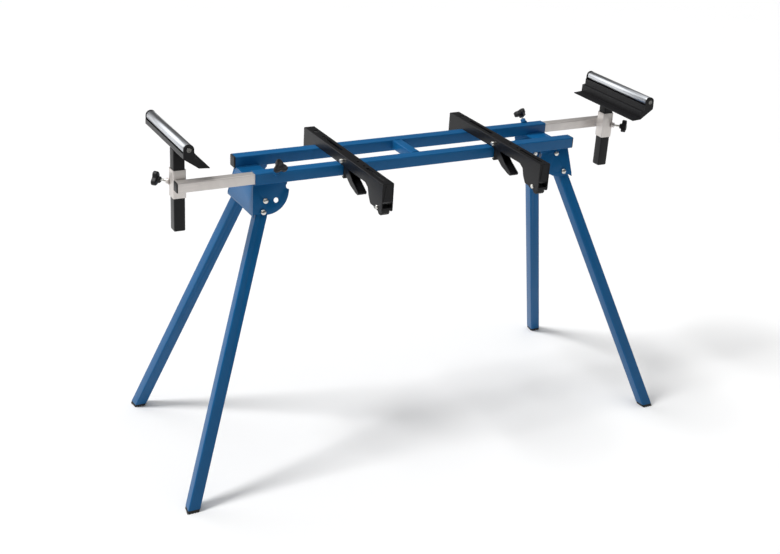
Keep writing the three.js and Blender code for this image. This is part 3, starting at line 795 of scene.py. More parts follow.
def drawn_steel(name, colour, along, rough=0.36):
    """Plain drawn tube: long fine lines, dull patches and small scratches."""
    material, nodes, place, shader = finish_base(name)
    if nodes is None:
        return material
    scale = tuple(0.02 if c else 1.0 for c in along)
    lines = noise(nodes, stretched(nodes, place, scale), 1500.0, 3.0, 0.6)
    patch = noise(nodes, place, 26.0, 5.0, 0.6, 0.4)
    scratch = ramp(
        nodes,
        noise(nodes, stretched(nodes, place, tuple(0.06 if c else 1.0 for c in along)), 340.0, 2.0, 0.5, 1.2),
        [(0.64, 0.0), (0.70, 1.0)],
    )
    shade = tone(nodes, patch, scaled(colour, 0.86), scaled(colour, 1.10))
    metal = tone(nodes, scratch * 0.4, shade, scaled(colour, 1.25))
    feed(
        nodes,
        shader,
        colour=metal,
        roughness=rough + (lines - 0.5) * 0.22 + (patch - 0.5) * 0.16,
        normal=bump(nodes, lines - scratch * 0.4, 0.22, 0.00006),
        metallic=0.55,
    )
    return material


def zinc_plate(name, colour):
    """Bright zinc: faint warm and cool patches over a fine crystalline grain."""
    material, nodes, place, shader = finish_base(name)
    if nodes is None:
        return material
    patch = noise(nodes, place, 160.0, 3.0, 0.6)
    grain = noise(nodes, place, 3200.0, 2.0)
    warm = (colour[0] * 1.04, colour[1] * 0.98, colour[2] * 0.86)
    cool = (colour[0] * 0.88, colour[1] * 0.94, colour[2] * 1.03)
    feed(
        nodes,
        shader,
        colour=tone(nodes, patch, warm, cool),
        roughness=0.27 + (patch - 0.5) * 0.15 + (grain - 0.5) * 0.12,
        normal=bump(nodes, grain, 0.15, 0.00004),
        metallic=1.0,
    )
    return material


def polished_roller(name, colour):
    """A polished tube with hair lines around it, a few handling marks and a dull film."""
    material, nodes, place, shader = finish_base(name)
    if nodes is None:
        return material
    hair = noise(nodes, stretched(nodes, place, (0.05, 1.0, 0.05)), 2400.0, 2.0, 0.6)
    film = noise(nodes, place, 18.0, 4.0, 0.6, 0.5)
    touched = noise(nodes, stretched(nodes, place, (1.0, 0.15, 1.0)), 420.0, 2.0)
    mark = ramp(nodes, touched, [(0.68, 0.0), (0.73, 1.0)])
    feed(
        nodes,
        shader,
        colour=tone(nodes, film, scaled(colour, 0.90), scaled(colour, 1.06)),
        roughness=0.29 + (hair - 0.5) * 0.05 + (film - 0.4) * 0.06 + mark * 0.05,
        normal=bump(nodes, hair, 0.05, 0.00002),
        metallic=1.0,
    )
    return material


def moulded(name, colour, rough, grain_scale, depth):
    """Moulded plastic or rubber: spark-eroded grain, a bloom of dust and slight shade changes."""
    material, nodes, place, shader = finish_base(name)
    if nodes is None:
        return material
    cells = nodes.add("ShaderNodeTexVoronoi", {"Vector": place, "Scale": grain_scale}, feature="SMOOTH_F1")
    fine = noise(nodes, place, grain_scale * 1.7, 2.0)
    bloom = ramp(nodes, noise(nodes, place, 45.0, 4.0, 0.65), [(0.45, 0.0), (0.80, 1.0)])
    shade = tone(nodes, fine, scaled(colour, 0.85), scaled(colour, 1.25))
    dusty = tone(nodes, bloom * 0.015, shade, (0.30, 0.30, 0.30))
    feed(
        nodes,
        shader,
        colour=dusty,
        roughness=rough + (fine - 0.5) * 0.14 + bloom * 0.06,
        normal=bump(nodes, cells + fine * 0.5, 0.4, depth),
        specular=0.3,
    )
    return material


def finish(kind):
    c = bpy.context.scene.stand_colours
    makers = {
        "blue": lambda: powder_coat("blue_powder_coat", tuple(c.blue), 0.33),
        "black": lambda: powder_coat("black_powder_coat", tuple(c.black), 0.32, 1.6),
        "steel_x": lambda: drawn_steel("drawn_steel_long", tuple(c.steel), (1, 0, 0)),
        "steel_z": lambda: drawn_steel("drawn_steel_upright", tuple(c.steel), (0, 0, 1)),
        "zinc": lambda: zinc_plate("zinc_plate", tuple(c.zinc)),
        # the axles use the zinc finish with its colour darkened to 0.22 of the zinc colour
        "axle": lambda: zinc_plate("dulled_axle", scaled(tuple(c.zinc), 0.22)),
        "chrome": lambda: polished_roller("polished_roller", tuple(c.chrome)),
        "plastic": lambda: moulded("moulded_plastic", tuple(c.plastic), 0.46, 1500.0, 0.00010),
        "rubber": lambda: moulded("foot_rubber", tuple(c.rubber), 0.72, 900.0, 0.00020),
    }
    return makers[kind]()


def put(obj, name, body, kind, nodes=(), edge=None, smooth=35.0):
    return finish_piece(obj, name, body, finish(kind), nodes, edge, smooth)


def beads(name, body, kind, paths, radius=None):
    """Weld beads along paths given in the stand's millimetres."""
    s = sizes()
    mesh = bpy.data.meshes.new("paths")
    points = []
    edges = []
    for path in paths:
        for i, point in enumerate(path):
            points.append(Vector(point) * MM)
            if i:
                edges.append((len(points) - 2, len(points) - 1))
    mesh.from_pydata(points, edges, [])
    made = grow("weld_bead", mesh, {"Radius": radius or s.bead_radius, "Ripple": s.bead_pitch, "Seed": 3.0})
    obj = place_mesh(made, Matrix.Identity(4))
    return put(obj, name, body, kind, edge=0, smooth=70.0)


def ring_path(centre, axis, radius, steps=28):
    at = around(centre, axis)
    turns = [2 * math.pi * i / steps for i in range(steps + 1)]
    return [at @ V(radius * math.cos(a), radius * math.sin(a), 0) for a in turns]


# ---- legs and their frames ----
class Leg:
    """One leg's own axes: out along X, down its side plate and square to the plate."""

    def __init__(self, name, sx, sy, splay, depth, reach, fold):
        self.name = name
        self.sx = sx
        self.sy = sy
        self.splay = math.radians(splay)
        self.depth = depth
        self.reach = reach
        self.fold = math.radians(fold)
        self.out = V(sx, 0, 0)
        self.down = V(0, sy * math.sin(TILT), -math.cos(TILT))
        self.normal = V(0, sy * math.cos(TILT), math.sin(TILT))
        self.origin = V(0, sy * LEG_Y, 0)
        self.along = self.out * math.sin(self.splay) + self.down * math.cos(self.splay)
        self.across = self.out * math.cos(self.splay) - self.down * math.sin(self.splay)

    def point(self, a, d, n):
        return self.origin + self.out * a + self.down * d + self.normal * n

    @property
    def pivot(self):
        return LEG_TOP_X + self.depth * math.tan(self.splay), self.depth

    @property
    def lock(self):
        a, d = self.pivot
        return a + self.reach * math.sin(self.splay), d + self.reach * math.cos(self.splay)

    def folded_lock(self, depth=None, reach=None, fold=None):
        d = self.depth if depth is None else depth
        reach = self.reach if reach is None else reach
        fold = self.fold if fold is None else fold
        a = LEG_TOP_X + d * math.tan(self.splay)
        return a - reach * math.cos(fold), d + reach * math.sin(fold)

    @property
    def length(self):
        return (RAIL_Z / math.cos(TILT) - self.depth) / math.cos(self.splay)

    def beam(self, outline, start, end):
        at = axes(self.point(*self.pivot, 0) + self.along * start, self.across, self.normal, self.along)
        return prism(outline, end - start, at)


LOW = (51.0, 28.0, 2.0)
HIGH = (21.0, 54.0, 0.0)
LEGS = (
    Leg("front_left", -1, -1, 19.57, *LOW),
    Leg("front_right", 1, -1, 19.57, *HIGH),
    Leg("rear_left", -1, 1, 17.4, *HIGH),
    Leg("rear_right", 1, 1, 17.4, *LOW),
)


def plate_in():
    return mm(sizes().leg_side) / 2 + GAP


def plate_out():
    return plate_in() + mm(sizes().sheet)


def floor_slab(low, high):
    return box(-900, 900, -500, 500, -RAIL_Z + low, -RAIL_Z + high)


def stadium(leg, radius, thick, depth, steps=24):
    arc = [math.pi + math.pi * i / steps for i in range(steps + 1)]
    bow = [(radius * math.cos(a), radius * math.sin(a)) for a in arc]
    outline = [(-radius, depth), *bow, (radius, depth)]
    return prism(outline, thick, axes(leg.point(*leg.pivot, -thick / 2), leg.across, leg.along, leg.normal))


def leg_tube(leg):
    side = mm(sizes().leg_side)
    wall = side / 2 - mm(sizes().tube_wall)
    depth = leg.length + 40
    body = stadium(leg, side / 2, side, depth)
    body = meet(body, leg.beam(square(side, side, mm(sizes().tube_corner)), -side, depth))
    body = cut(body, stadium(leg, wall, 2 * wall, depth + 10))
    bolt = rod(leg.point(*leg.pivot, -side), leg.normal, BOLT_RADIUS + GAP, 2 * side)
    hole = rod(leg.point(*leg.lock, 0), leg.normal, PIN_STEM + GAP, side)
    return cut(body, bolt, hole, floor_slab(-100, FOOT_RISE))


def plug_side(side):
    """Side of a square plug that fits inside a tube."""
    return side - 2 * mm(sizes().tube_wall) - PLUG_PLAY


def leg_foot(leg):
    """A moulded shoe: a ribbed pad under the tube and a plug inside it."""
    side = mm(sizes().leg_side)
    inner = plug_side(side)
    pad = leg.beam(square(side - 1, side - 1, 3.0), leg.length - 60, leg.length + 40)
    pad = meet(pad, floor_slab(0, FOOT_RISE - GAP))
    ribs = []
    for k in range(-2, 3):
        middle = leg.point(*leg.pivot, 0) + leg.along * leg.length
        ribs.append(box(middle.x + 7 * k - 1.2, middle.x + 7 * k + 1.2, middle.y - 40, middle.y + 40,
                        -RAIL_Z - 1, -RAIL_Z + 1.4))
    pad = cut(pad, *ribs)
    plug = leg.beam(square(inner, inner, 1.5), leg.length - 34, leg.length + 40)
    return join(pad, meet(plug, floor_slab(2, 60)))


class STAND_OT_legs(bpy.types.Operator):
    """Builds the four folding legs with their feet"""

    bl_idname = "stand.legs"
    bl_label = "Legs and feet"

    def execute(self, context):
        for leg in LEGS:
            body = f"{leg.name}_leg"
            put(leg_tube(leg), f"leg_tube_{leg.name}", body, "blue", [f"leg_{leg.name}"])
            put(leg_foot(leg), f"leg_shoe_{leg.name}", body, "rubber", [f"foot_{leg.name}"], 0.5)
        return {"FINISHED"}


# ---- rails, cross member and brackets ----
def rail(sy):
    side = mm(sizes().rail_side)
    body = tube(V(-RAIL_HALF, sy * RAIL_Y, side / 2), V(1, 0, 0), V(0, 1, 0), V(0, 0, 1), side, 2 * RAIL_HALF)
    corner = V(sy * LOCK_X, sy * RAIL_Y, side / 2)
    return cut(body, rod(corner, V(0, sy, 1), SCREW_RADIUS + GAP, side))


def tube_cap(end, outward, side, lip, plug):
    """A moulded cap: a cushioned lip outside the tube and a plug inside it."""
    across = (V(0, 1, 0), V(0, 0, 1)) if abs(outward.x) > 0.5 else (V(1, 0, 0), V(0, 1, 0))
    at = axes(end, *across, outward)

    def layer(width, corner, depth, height):
        return prism(square(width, width, corner), depth, at @ Matrix.Translation((0, 0, height)))

    base = layer(side, 3.0, lip * 0.5, 0)
    crown = layer(side - 1.6, 2.4, lip * 0.45, lip * 0.5 - 0.05)
    cushion = layer(side - 5, 1.4, lip * 0.14, lip * 0.86)
    stem = layer(plug_side(side), 1.0, plug, -plug + 0.5)
    return join(base, crown, cushion, stem)


def cross_member():
    half = RAIL_Y - mm(sizes().rail_side) / 2 - GAP
    z = mm(sizes().rail_side) - GAP - CROSS_SIDE / 2
    return tube(V(CROSS_X, -half, z), V(0, 1, 0), V(1, 0, 0), V(0, 0, -1), CROSS_SIDE, 2 * half, 2.5)


def plate_outline():
    ca, cd = PLATE_CENTRE
    edge = (WEB_BOTTOM - WEB_TOP) / WEB_DEPTH
    low = cd + PLATE_RADIUS - 4
    arc = [math.pi / 2 + math.pi / 2 * i / 28 for i in range(29)]
    points = [(WEB_TOP, PLATE_TOP), (WEB_TOP + edge * low, low)]
    points += [(ca + PLATE_RADIUS * math.cos(a), cd + PLATE_RADIUS * math.sin(a)) for a in arc]
    return points + [(PLATE_INNER, cd - NOTCH_RADIUS), (PLATE_INNER, PLATE_TOP)]


def side_plate(leg):
    sheet = mm(sizes().sheet)

    def flat(depth):
        return axes(leg.origin + leg.normal * depth, leg.out, leg.down, leg.normal)

    def bore(a, d, radius):
        return rod(leg.point(a, d, plate_in() - 5), leg.normal, radius, sheet + 10)

    plate = prism(plate_outline(), sheet, flat(plate_in()))
    notch = leg.folded_lock(*HIGH)
    r = NOTCH_RADIUS
    mouth = [(notch[0] - 30, notch[1] - r), (notch[0], notch[1] - r), (notch[0], notch[1] + r),
             (notch[0] - 30, notch[1] + r)]
    slot = prism(mouth, sheet + 4, flat(plate_in() - 2))
    holes = [bore(*leg.pivot, BOLT_RADIUS + GAP), bore(*leg.lock, PIN_STEM + GAP), bore(*notch, r)]
    plate = cut(plate, *holes, slot)
    if leg.depth == LOW[0]:
        plate = cut(plate, bore(*leg.folded_lock(), PIN_STEM + GAP + 2))
    return plate


def bend_corners(obj, web_normal, radius):
    """Rounds the folds between the end web and its side plates."""
    bm = opened(obj.data)
    bmesh.ops.dissolve_limit(bm, angle_limit=FLAT_ANGLE, verts=bm.verts, edges=bm.edges)
    folds = []
    for edge in bm.edges:
        if len(edge.link_faces) != 2 or edge.calc_length() < 30:
            continue
        a, b = (f.normal for f in edge.link_faces)
        if abs(a.dot(web_normal)) < abs(b.dot(web_normal)):
            a, b = b, a
        if a.dot(web_normal) > 0.98 and abs(b.y) > 0.9 and abs(edge.verts[0].co.x) > 455:
            folds.append(edge)
    bmesh.ops.bevel(
        bm, geom=folds, offset=radius, segments=5, profile=0.5, affect="EDGES", clamp_overlap=True
    )
    bm.to_mesh(obj.data)
    bm.free()
    return obj


def bracket(sx):
    sheet = mm(sizes().sheet)

    def spread(z):
        return LEG_Y + plate_out() / math.cos(TILT) - z * math.tan(TILT)

    top = -2 * GAP
    web = [(-spread(top) + 0.4, top), (-DECK_HALF, top), (-DECK_HALF, DECK_TOP), (DECK_HALF, DECK_TOP),
           (DECK_HALF, top), (spread(top) - 0.4, top), (spread(-WEB_DEPTH) - 0.4, -WEB_DEPTH),
           (-spread(-WEB_DEPTH) + 0.4, -WEB_DEPTH)]
    lean = math.atan2(WEB_BOTTOM - WEB_TOP, WEB_DEPTH)
    up = V(-sx * math.sin(lean), 0, math.cos(lean))
    out = V(sx * math.cos(lean), 0, math.sin(lean))
    body = prism(web, sheet, axes(V(sx * (WEB_TOP - sheet), 0, 0), V(0, 1, 0), up, out))
    reach = sorted((sx * DECK_INNER, sx * WEB_TOP))
    body = join(body, box(*reach, -DECK_HALF, DECK_HALF, DECK_TOP - sheet, DECK_TOP - 0.02))
    plates = [side_plate(leg) for leg in LEGS if leg.sx == sx]
    for plate in plates:
        cut(plate, box(sx * RAIL_HALF - 150, sx * RAIL_HALF + 150, -120, 120, -GAP, 40))
    body = join(body, *plates)
    return bend_corners(body, out, 2.6)


def boss_body(centre, axis, near, far):
    profile = [(0, near), (BOSS_RADIUS, near), (BOSS_RADIUS, far - 0.8), (BOSS_RADIUS - 0.8, far), (0, far)]
    return lathe(profile, around(centre, axis))


def boss_bore(centre, axis):
    return rod(centre + axis * 10, axis, SCREW_RADIUS + GAP, 30)


def boss_weld(centre, axis, half):
    """The path of the weld around a boss on the corner of a tube with the given half side."""
    return ring_path(centre + axis * (half * math.sqrt(2) - 1.4), axis, BOSS_RADIUS + 0.2)


def lock_boss(sy):
    side = mm(sizes().rail_side)
    axis = V(0, sy, 1).normalized()
    at = V(sy * LOCK_X, sy * RAIL_Y, side / 2)
    body = boss_body(at, axis, 14, 30)
    bore = boss_bore(at, axis)
    seat = prism(square(side + 2 * GAP, side + 2 * GAP, mm(sizes().tube_corner)), 60,
                 axes(V(at.x - 30, at.y, side / 2), V(0, 1, 0), V(0, 0, 1), V(1, 0, 0)))
    return cut(body, bore, seat)


class STAND_OT_frame(bpy.types.Operator):
    """Builds the rails, the cross member, the bent brackets and their welds"""

    bl_idname = "stand.frame"
    bl_label = "Rails and brackets"

    def execute(self, context):
        for word, sy in (("front", -1), ("rear", 1)):
            put(rail(sy), f"rail_tube_{word}", "frame", "blue", [f"rail_{word}"])
            end = V(-sy * (RAIL_HALF + GAP), sy * RAIL_Y, mm(sizes().rail_side) / 2)
            cap = tube_cap(end, V(-sy, 0, 0), mm(sizes().rail_side), 3.0, 16.0)
            put(cap, f"rail_end_{word}", "frame", "plastic", [f"rail_cap_{word}"], 0.4)
        put(cross_member(), "cross_tube", "frame", "blue", ["cross_member"])
        for word, sx in SIDES:
            put(bracket(sx), f"bent_bracket_{word}", "frame", "blue", [f"bracket_{word}"], 0.35)
            put(lock_boss(sx), f"threaded_boss_{word}", "frame", "blue", [f"lock_boss_{word}"])
        self.welds()
        return {"FINISHED"}

    def welds(self):
        side = mm(sizes().rail_side)
        half = RAIL_Y - side / 2
        top = side - GAP
        paths = []
        for sy in (-1, 1):
            y = sy * (half - 0.3)
            for sx in (-1, 1):
                x = CROSS_X + sx * CROSS_SIDE / 2
                paths.append([(x, y, z) for z in (top - CROSS_SIDE + 2, top - 2)])
                deck = [sx * DECK_INNER + sx * 4, sx * WEB_TOP - sx * 6]
                paths.append([(x2, y, DECK_TOP) for x2 in deck])
                plate_y = sy * (LEG_Y + plate_out() / math.cos(TILT))
                for a, b in ((380, 398), (436, 457)):
                    paths.append([(sx * a, plate_y, -0.2), (sx * b, plate_y, -0.2)])
            paths.append([(CROSS_X - CROSS_SIDE / 2 + 3, y, top), (CROSS_X + CROSS_SIDE / 2 - 3, y, top)])
        for _, sx in SIDES:
            axis = V(0, sx, 1).normalized()
            paths.append(boss_weld(V(sx * LOCK_X, sx * RAIL_Y, side / 2), axis, side / 2))
        beads("frame_welds", "frame", "blue", paths)


class STAND_OT_bolts(bpy.types.Operator):
    """Builds the pivot bolts and the push pins that lock the legs"""

    bl_idname = "stand.bolts"
    bl_label = "Pivot bolts and push pins"

    def execute(self, context):
        s = sizes()
        mesh = bpy.data.meshes.new("bolt_points")
        high = plate_out() + GAP
        mesh.from_pydata([leg.point(*leg.pivot, high) * MM for leg in LEGS], [], [])
        facing = mesh.attributes.new("facing", "FLOAT_VECTOR", "POINT")
        for i, leg in enumerate(LEGS):
            facing.data[i].vector = leg.normal
        grip = (high + s.leg_side / MM / 2 + GAP) * MM
        inputs = {
            "Head": s.bolt_head,
            "Rise": HEAD_RISE * MM,
            "Shank": BOLT_RADIUS * MM,
            "Grip": grip,
            "Nut": NUT_THICK * MM,
        }
        made = grow("domed_bolt", mesh, inputs)
        bolts = place_mesh(made, Matrix.Identity(4))
        names = [f"pivot_bolt_{leg.name}" for leg in LEGS]
        put(bolts, "pivot_bolts", "frame", "zinc", names, 0, 40.0)
        for leg in LEGS:
            put(push_pin(leg), f"push_pin_{leg.name}", f"{leg.name}_button", "zinc",
                [f"lock_button_{leg.name}"], 0.2)
        return {"FINISHED"}


def push_pin(leg):
    head = mm(sizes().bolt_head)
    r = PIN_STEM
    under = plate_out() + GAP + PIN_TRAVEL
    turns = [math.pi / 2 * i / 10 for i in range(10)]
    dome = [(head * math.cos(a), under + 1 + (HEAD_RISE - 1) * math.sin(a)) for a in turns]
    profile = [(0, plate_in()), (r - 0.8, plate_in()), (r, plate_in() + 0.8), (r, under - 2.4),
               (r - 0.5, under - 2.1), (r - 0.5, under - 1.4), (r, under - 1.1), (r, under), (head, under),
               *dome, (0, under + HEAD_RISE)]
    return lathe(profile, around(leg.point(*leg.lock, 0), leg.normal))


# ---- extensions and roller supports ----
def sleeve_y():
    s = sizes()
    return RAIL_Y - mm(s.inner_side) / 2 - GAP - mm(s.sleeve_side) / 2


def extension_end(side):
    return POST_X[side] + side * EXT_PAST_POST


def knob_axis(side):
    return V(side, -side, 0).normalized()


def sleeve(side):
    s = sizes()
    outer = mm(s.sleeve_side)
    axis = knob_axis(side)
    start = V(POST_X[side], side * sleeve_y(), SLEEVE_LOW)
    body = tube(start, V(0, 0, 1), V(1, 0, 0), V(0, 1, 0), outer, SLEEVE_HIGH - SLEEVE_LOW)
    centre = V(start.x, start.y, KNOB_Z)
    return cut(join(body, boss_body(centre, axis, 20, 29)), boss_bore(centre, axis))


def roller_post(side):
    start = V(POST_X[side], side * sleeve_y(), POST_LOW)
    return tube(start, V(0, 0, 1), V(1, 0, 0), V(0, 1, 0), mm(sizes().post_side), POST_HIGH - POST_LOW, 2.5)


def extension_tube(side):
    s = sizes()
    run = abs(extension_end(side)) - RAIL_HALF + EXT_INSIDE
    start = V(extension_end(side), side * RAIL_Y, mm(s.rail_side) / 2)
    return tube(start, V(-side, 0, 0), V(0, 1, 0), V(0, 0, 1), mm(s.inner_side), run, 2.5)


def head_at(side, y):
    origin = V(POST_X[side] + side * ROLLER_OUT, y, ROLLER_Z)
    return axes(origin, V(-side, 0, 0), V(0, 0, 1), V(0, 1, 0))


def cradle(side):
    """Two folded sheets between two end plates with round ears."""
    sheet = mm(sizes().cradle_sheet)
    run = 2 * HEAD_HALF
    start = head_at(side, -HEAD_HALF)
    turns = [math.pi * i / 24 for i in range(25)]
    ear = [(EAR_RADIUS * math.cos(a), EAR_RADIUS * math.sin(a)) for a in turns]
    plate = [(-13.5, -21), (24, -47), (50, -49), (50, -47.2), (24, -44.5), (24, -25.5), (13, -24), *ear]
    trough = prism(thick_line(TROUGH, sheet, 3.5), run, start)
    body = join(trough, prism(thick_line(GUARD, sheet, 1.6), run, start))
    body = join(body, prism(plate, sheet, start), prism(plate, sheet, head_at(side, HEAD_HALF - sheet)))
    half = mm(sizes().post_side) / 2 + GAP
    x = POST_X[side]
    y = side * sleeve_y()
    body = cut(body, box(x - half, x + half, y - half, y + half, 0, POST_HIGH + 2))
    return cut(body, rod(head_at(side, -HEAD_HALF - 5).translation, V(0, 1, 0), AXLE_RADIUS + GAP, run + 10))


def trough_weld(side):
    """The path of the weld between the post and the sloping face of the cradle."""
    (a0, z0), (a1, z1) = TROUGH[1:3]
    half = mm(sizes().post_side) / 2
    inner = ROLLER_OUT + half
    path = []
    for a, y in ((0.5, -half), (inner, -half), (inner, half), (0.5, half)):
        z = ROLLER_Z + z0 + (a - a0) * (z1 - z0) / (a1 - a0)
        path.append((POST_X[side] + side * (ROLLER_OUT - a), side * sleeve_y() + y, z - 0.3))
    return path


def roller(side):
    """A polished tube with rolled ends."""
    at = head_at(side, 0)
    r = ROLLER_RADIUS
    h = ROLLER_HALF
    wall = 1.6
    shape = []
    for sign in (-1, 1):
        ends = [(r - 1.2, sign * h), (r - 0.35, sign * (h - 0.35)), (r, sign * (h - 1.2))]
        shape += ends if sign < 0 else ends[::-1]
    outer = lathe([(0, -h), *shape, (0, h)], at, 72)
    return cut(outer, rod(at @ V(0, 0, -h - 1), at.to_3x3() @ V(0, 0, 1), r - wall, 2 * h + 2, 72))


def roller_bush(side, sign):
    """The plastic bush in one end of a roller, around its axle."""
    at = head_at(side, 0) @ Matrix.Rotation(0 if sign > 0 else math.pi, 4, "X")
    r = ROLLER_RADIUS - 1.8
    h = ROLLER_HALF
    profile = [(0, h - 14), (r, h - 14), (r, h - 0.8), (r - 0.8, h - 0.1), (r - 3, h - 0.1),
               (r - 3.4, h - 1.2), (ROLLER_BORE + 1.2, h - 1.2), (ROLLER_BORE + 0.8, h), (0, h)]
    body = lathe(profile, at)
    way = at.to_3x3() @ V(0, 0, 1)
    return cut(body, rod(at @ V(0, 0, h - 16), way, ROLLER_BORE, 20))


def axle(side):
    at = head_at(side, -HEAD_HALF - 2.5)
    run = 2 * HEAD_HALF + 5
    r = AXLE_RADIUS
    near = [(0, 0.3), (2.2, 0.3), (2.8, 0), (5.0, 0), (5.7, 0.4), (6, 1.0), (6, 2.2), (r, 2.2)]
    profile = near + [(radius, run - height) for radius, height in near[::-1]]
    return lathe(profile, at)


class STAND_OT_extensions(bpy.types.Operator):
    """Builds the sliding tubes with their upright sleeves"""

    bl_idname = "stand.extensions"
    bl_label = "Extensions"

    def execute(self, context):
        s = sizes()
        for word, side in SIDES:
            body = f"{word}_extension"
            put(extension_tube(side), f"sliding_tube_{word}", body, "steel_x", [f"extension_{word}"])
            end = V(extension_end(side) + side * GAP, side * RAIL_Y, mm(s.rail_side) / 2)
            cap = tube_cap(end, V(side, 0, 0), mm(s.inner_side), 2.5, 14.0)
            put(cap, f"sliding_tube_end_{word}", body, "plastic", [f"extension_cap_{word}"], 0.35)
            put(sleeve(side), f"upright_sleeve_{word}", body, "steel_z", [f"sleeve_{word}"])
            y = side * (RAIL_Y - mm(s.inner_side) / 2 - 0.15)
            half = mm(s.sleeve_side) / 2
            low = (mm(s.rail_side) - mm(s.inner_side)) / 2
            high = low + mm(s.inner_side)
            near = POST_X[side] - side * (half - 0.5)
            far = extension_end(side) - side * 1.5
            paths = [[(near, y, low + 2), (near, y, high - 2)]]
            paths += [[(near + side * 2, y, z), (far, y, z)] for z in (low - 0.1, high + 0.1)]
            paths.append(boss_weld(V(POST_X[side], side * sleeve_y(), KNOB_Z), knob_axis(side), half))
            beads(f"sleeve_welds_{word}", body, "steel_z", paths, 0.0015)
        return {"FINISHED"}


class STAND_OT_supports(bpy.types.Operator):
    """Builds the posts, cradles, axles and rollers"""

    bl_idname = "stand.supports"
    bl_label = "Roller supports"

    def execute(self, context):
        s = sizes()
        for word, side in SIDES:
            body = f"{word}_post"
            put(roller_post(side), f"height_post_{word}", body, "black", [f"post_{word}"])
            foot = V(POST_X[side], side * sleeve_y(), POST_LOW - GAP)
            cap = tube_cap(foot, V(0, 0, -1), mm(s.post_side), 2.5, 14.0)
            put(cap, f"height_post_end_{word}", body, "plastic", (), 0.35)
            put(cradle(side), f"folded_cradle_{word}", body, "black", [f"cradle_{word}"], 0.3)
            put(axle(side), f"roller_axle_{word}", body, "axle", [f"axle_{word}"], 0)
            beads(f"post_welds_{word}", body, "black", [trough_weld(side)], 0.0016)
            put(roller(side), f"roller_tube_{word}", f"{word}_roller", "chrome", [f"roller_{word}"], 0)
            for sign, end in ((-1, "front"), (1, "rear")):
                put(roller_bush(side, sign), f"roller_bush_{word}_{end}", f"{word}_roller", "plastic",
                    edge=0.15)
        return {"FINISHED"}


# ---- clamping knobs ----
def knob(origin, axis):
    """A three-lobed knob with a rounded rim, a dished top and a hub."""
    at = around(origin, axis)
    steps = 96
    low, high, rim = KNOB_LOW, KNOB_HIGH, KNOB_RIM
    turns = [math.pi / 2 * k / 6 for k in range(7)]
    profile = [(-rim * (1 - math.sin(a)), low + rim * (1 - math.cos(a))) for a in turns]
    profile += [(-rim * (1 - math.cos(a)), high - rim * (1 - math.sin(a))) for a in turns]
    profile += [(-5.4, high - 0.2), (-6.6, high - 1.0)]
    bm = bmesh.new()
    loops = []
    for inset, height in profile:
        loop = []
        for i in range(steps):
            a = 2 * math.pi * i / steps
            r = KNOB_MEAN + KNOB_LOBE * math.cos(3 * a) + inset
            loop.append(bm.verts.new(at @ V(r * math.sin(a), r * math.cos(a), height)))
        loops.append(loop)
    for below, above in zip(loops, loops[1:]):
        for i in range(steps):
            j = (i + 1) % steps
            bm.faces.new((below[i], below[j], above[j], above[i]))
    bm.faces.new(loops[0])
    bm.faces.new(loops[-1])
    body = solid(bm)
    hub = lathe([(0, 0), (6.2, 0), (7, 0.8), (7.6, 6.6), (0, 6.6)], at)
    disc = lathe([(0, high - 3), (5.2, high - 3), (5.2, high - 0.8), (4.6, high - 0.4), (0, high - 0.2)], at)
    body = join(body, hub, disc)
    return cut(body, rod(origin - axis.normalized(), axis, SCREW_RADIUS + GAP, 10))


def clamp_screw(centre, axis, tip, run):
    s = sizes()
    mesh = grow(
        "screw_thread",
        bpy.data.meshes.new("empty"),
        {"Length": run * MM, "Radius": SCREW_RADIUS * MM, "Pitch": s.thread_pitch},
    )
    return place_mesh(mesh, around(centre + axis.normalized() * tip, axis))


class STAND_OT_knobs(bpy.types.Operator):
    """Builds the clamping knobs and their threaded screws"""

    bl_idname = "stand.knobs"
    bl_label = "Clamping knobs"

    def execute(self, context):
        for word, side in SIDES:
            axis = V(0, side, 1).normalized()
            at = V(side * LOCK_X, side * RAIL_Y, mm(sizes().rail_side) / 2)
            body = f"{word}_lock"
            screw = clamp_screw(at, axis, *LOCK_SCREW)
            put(screw, f"lock_thread_{word}", body, "zinc", [f"lock_screw_{word}"], 0)
            put(knob(at + axis * LOCK_KNOB, axis), f"lobed_lock_knob_{word}", body, "plastic",
                [f"lock_knob_{word}"], 0.15)
            axis = knob_axis(side)
            at = V(POST_X[side], side * sleeve_y(), KNOB_Z)
            body = f"{word}_height_clamp"
            screw = clamp_screw(at, axis, *HEIGHT_SCREW)
            put(screw, f"height_thread_{word}", body, "zinc", [f"height_screw_{word}"], 0)
            put(knob(at + axis * HEIGHT_KNOB, axis), f"lobed_height_knob_{word}", body, "plastic",
                [f"height_knob_{word}"], 0.15)
        return {"FINISHED"}


# ---- tool bars ----
def along_x(points, x0, x1):
    return prism(points, x1 - x0, axes(V(x0, 0, 0), V(0, 1, 0), V(0, 0, 1), V(1, 0, 0)))


def pin_bore(x, spot, half=20):
    return rod(V(x - half, *spot), V(1, 0, 0), CROSS_PIN + GAP, 2 * half)


def bar_slot(x, y0, y1, width):
    r = width / 2
    outline = []
    for y, start in ((y1 - r, 0.0), (y0 + r, math.pi)):
        outline += [(r * math.cos(start + math.pi * i / 12), y + r * math.sin(start + math.pi * i / 12))
                    for i in range(13)]
    return prism(outline, 20, Matrix.Translation((x, 0, BAR_TOP - 10)))


def beyond_rail():
    """How far from the middle the bars' parts pass the outer side of a rail."""
    return RAIL_Y + mm(sizes().rail_side) / 2 + RAIL_PLAY


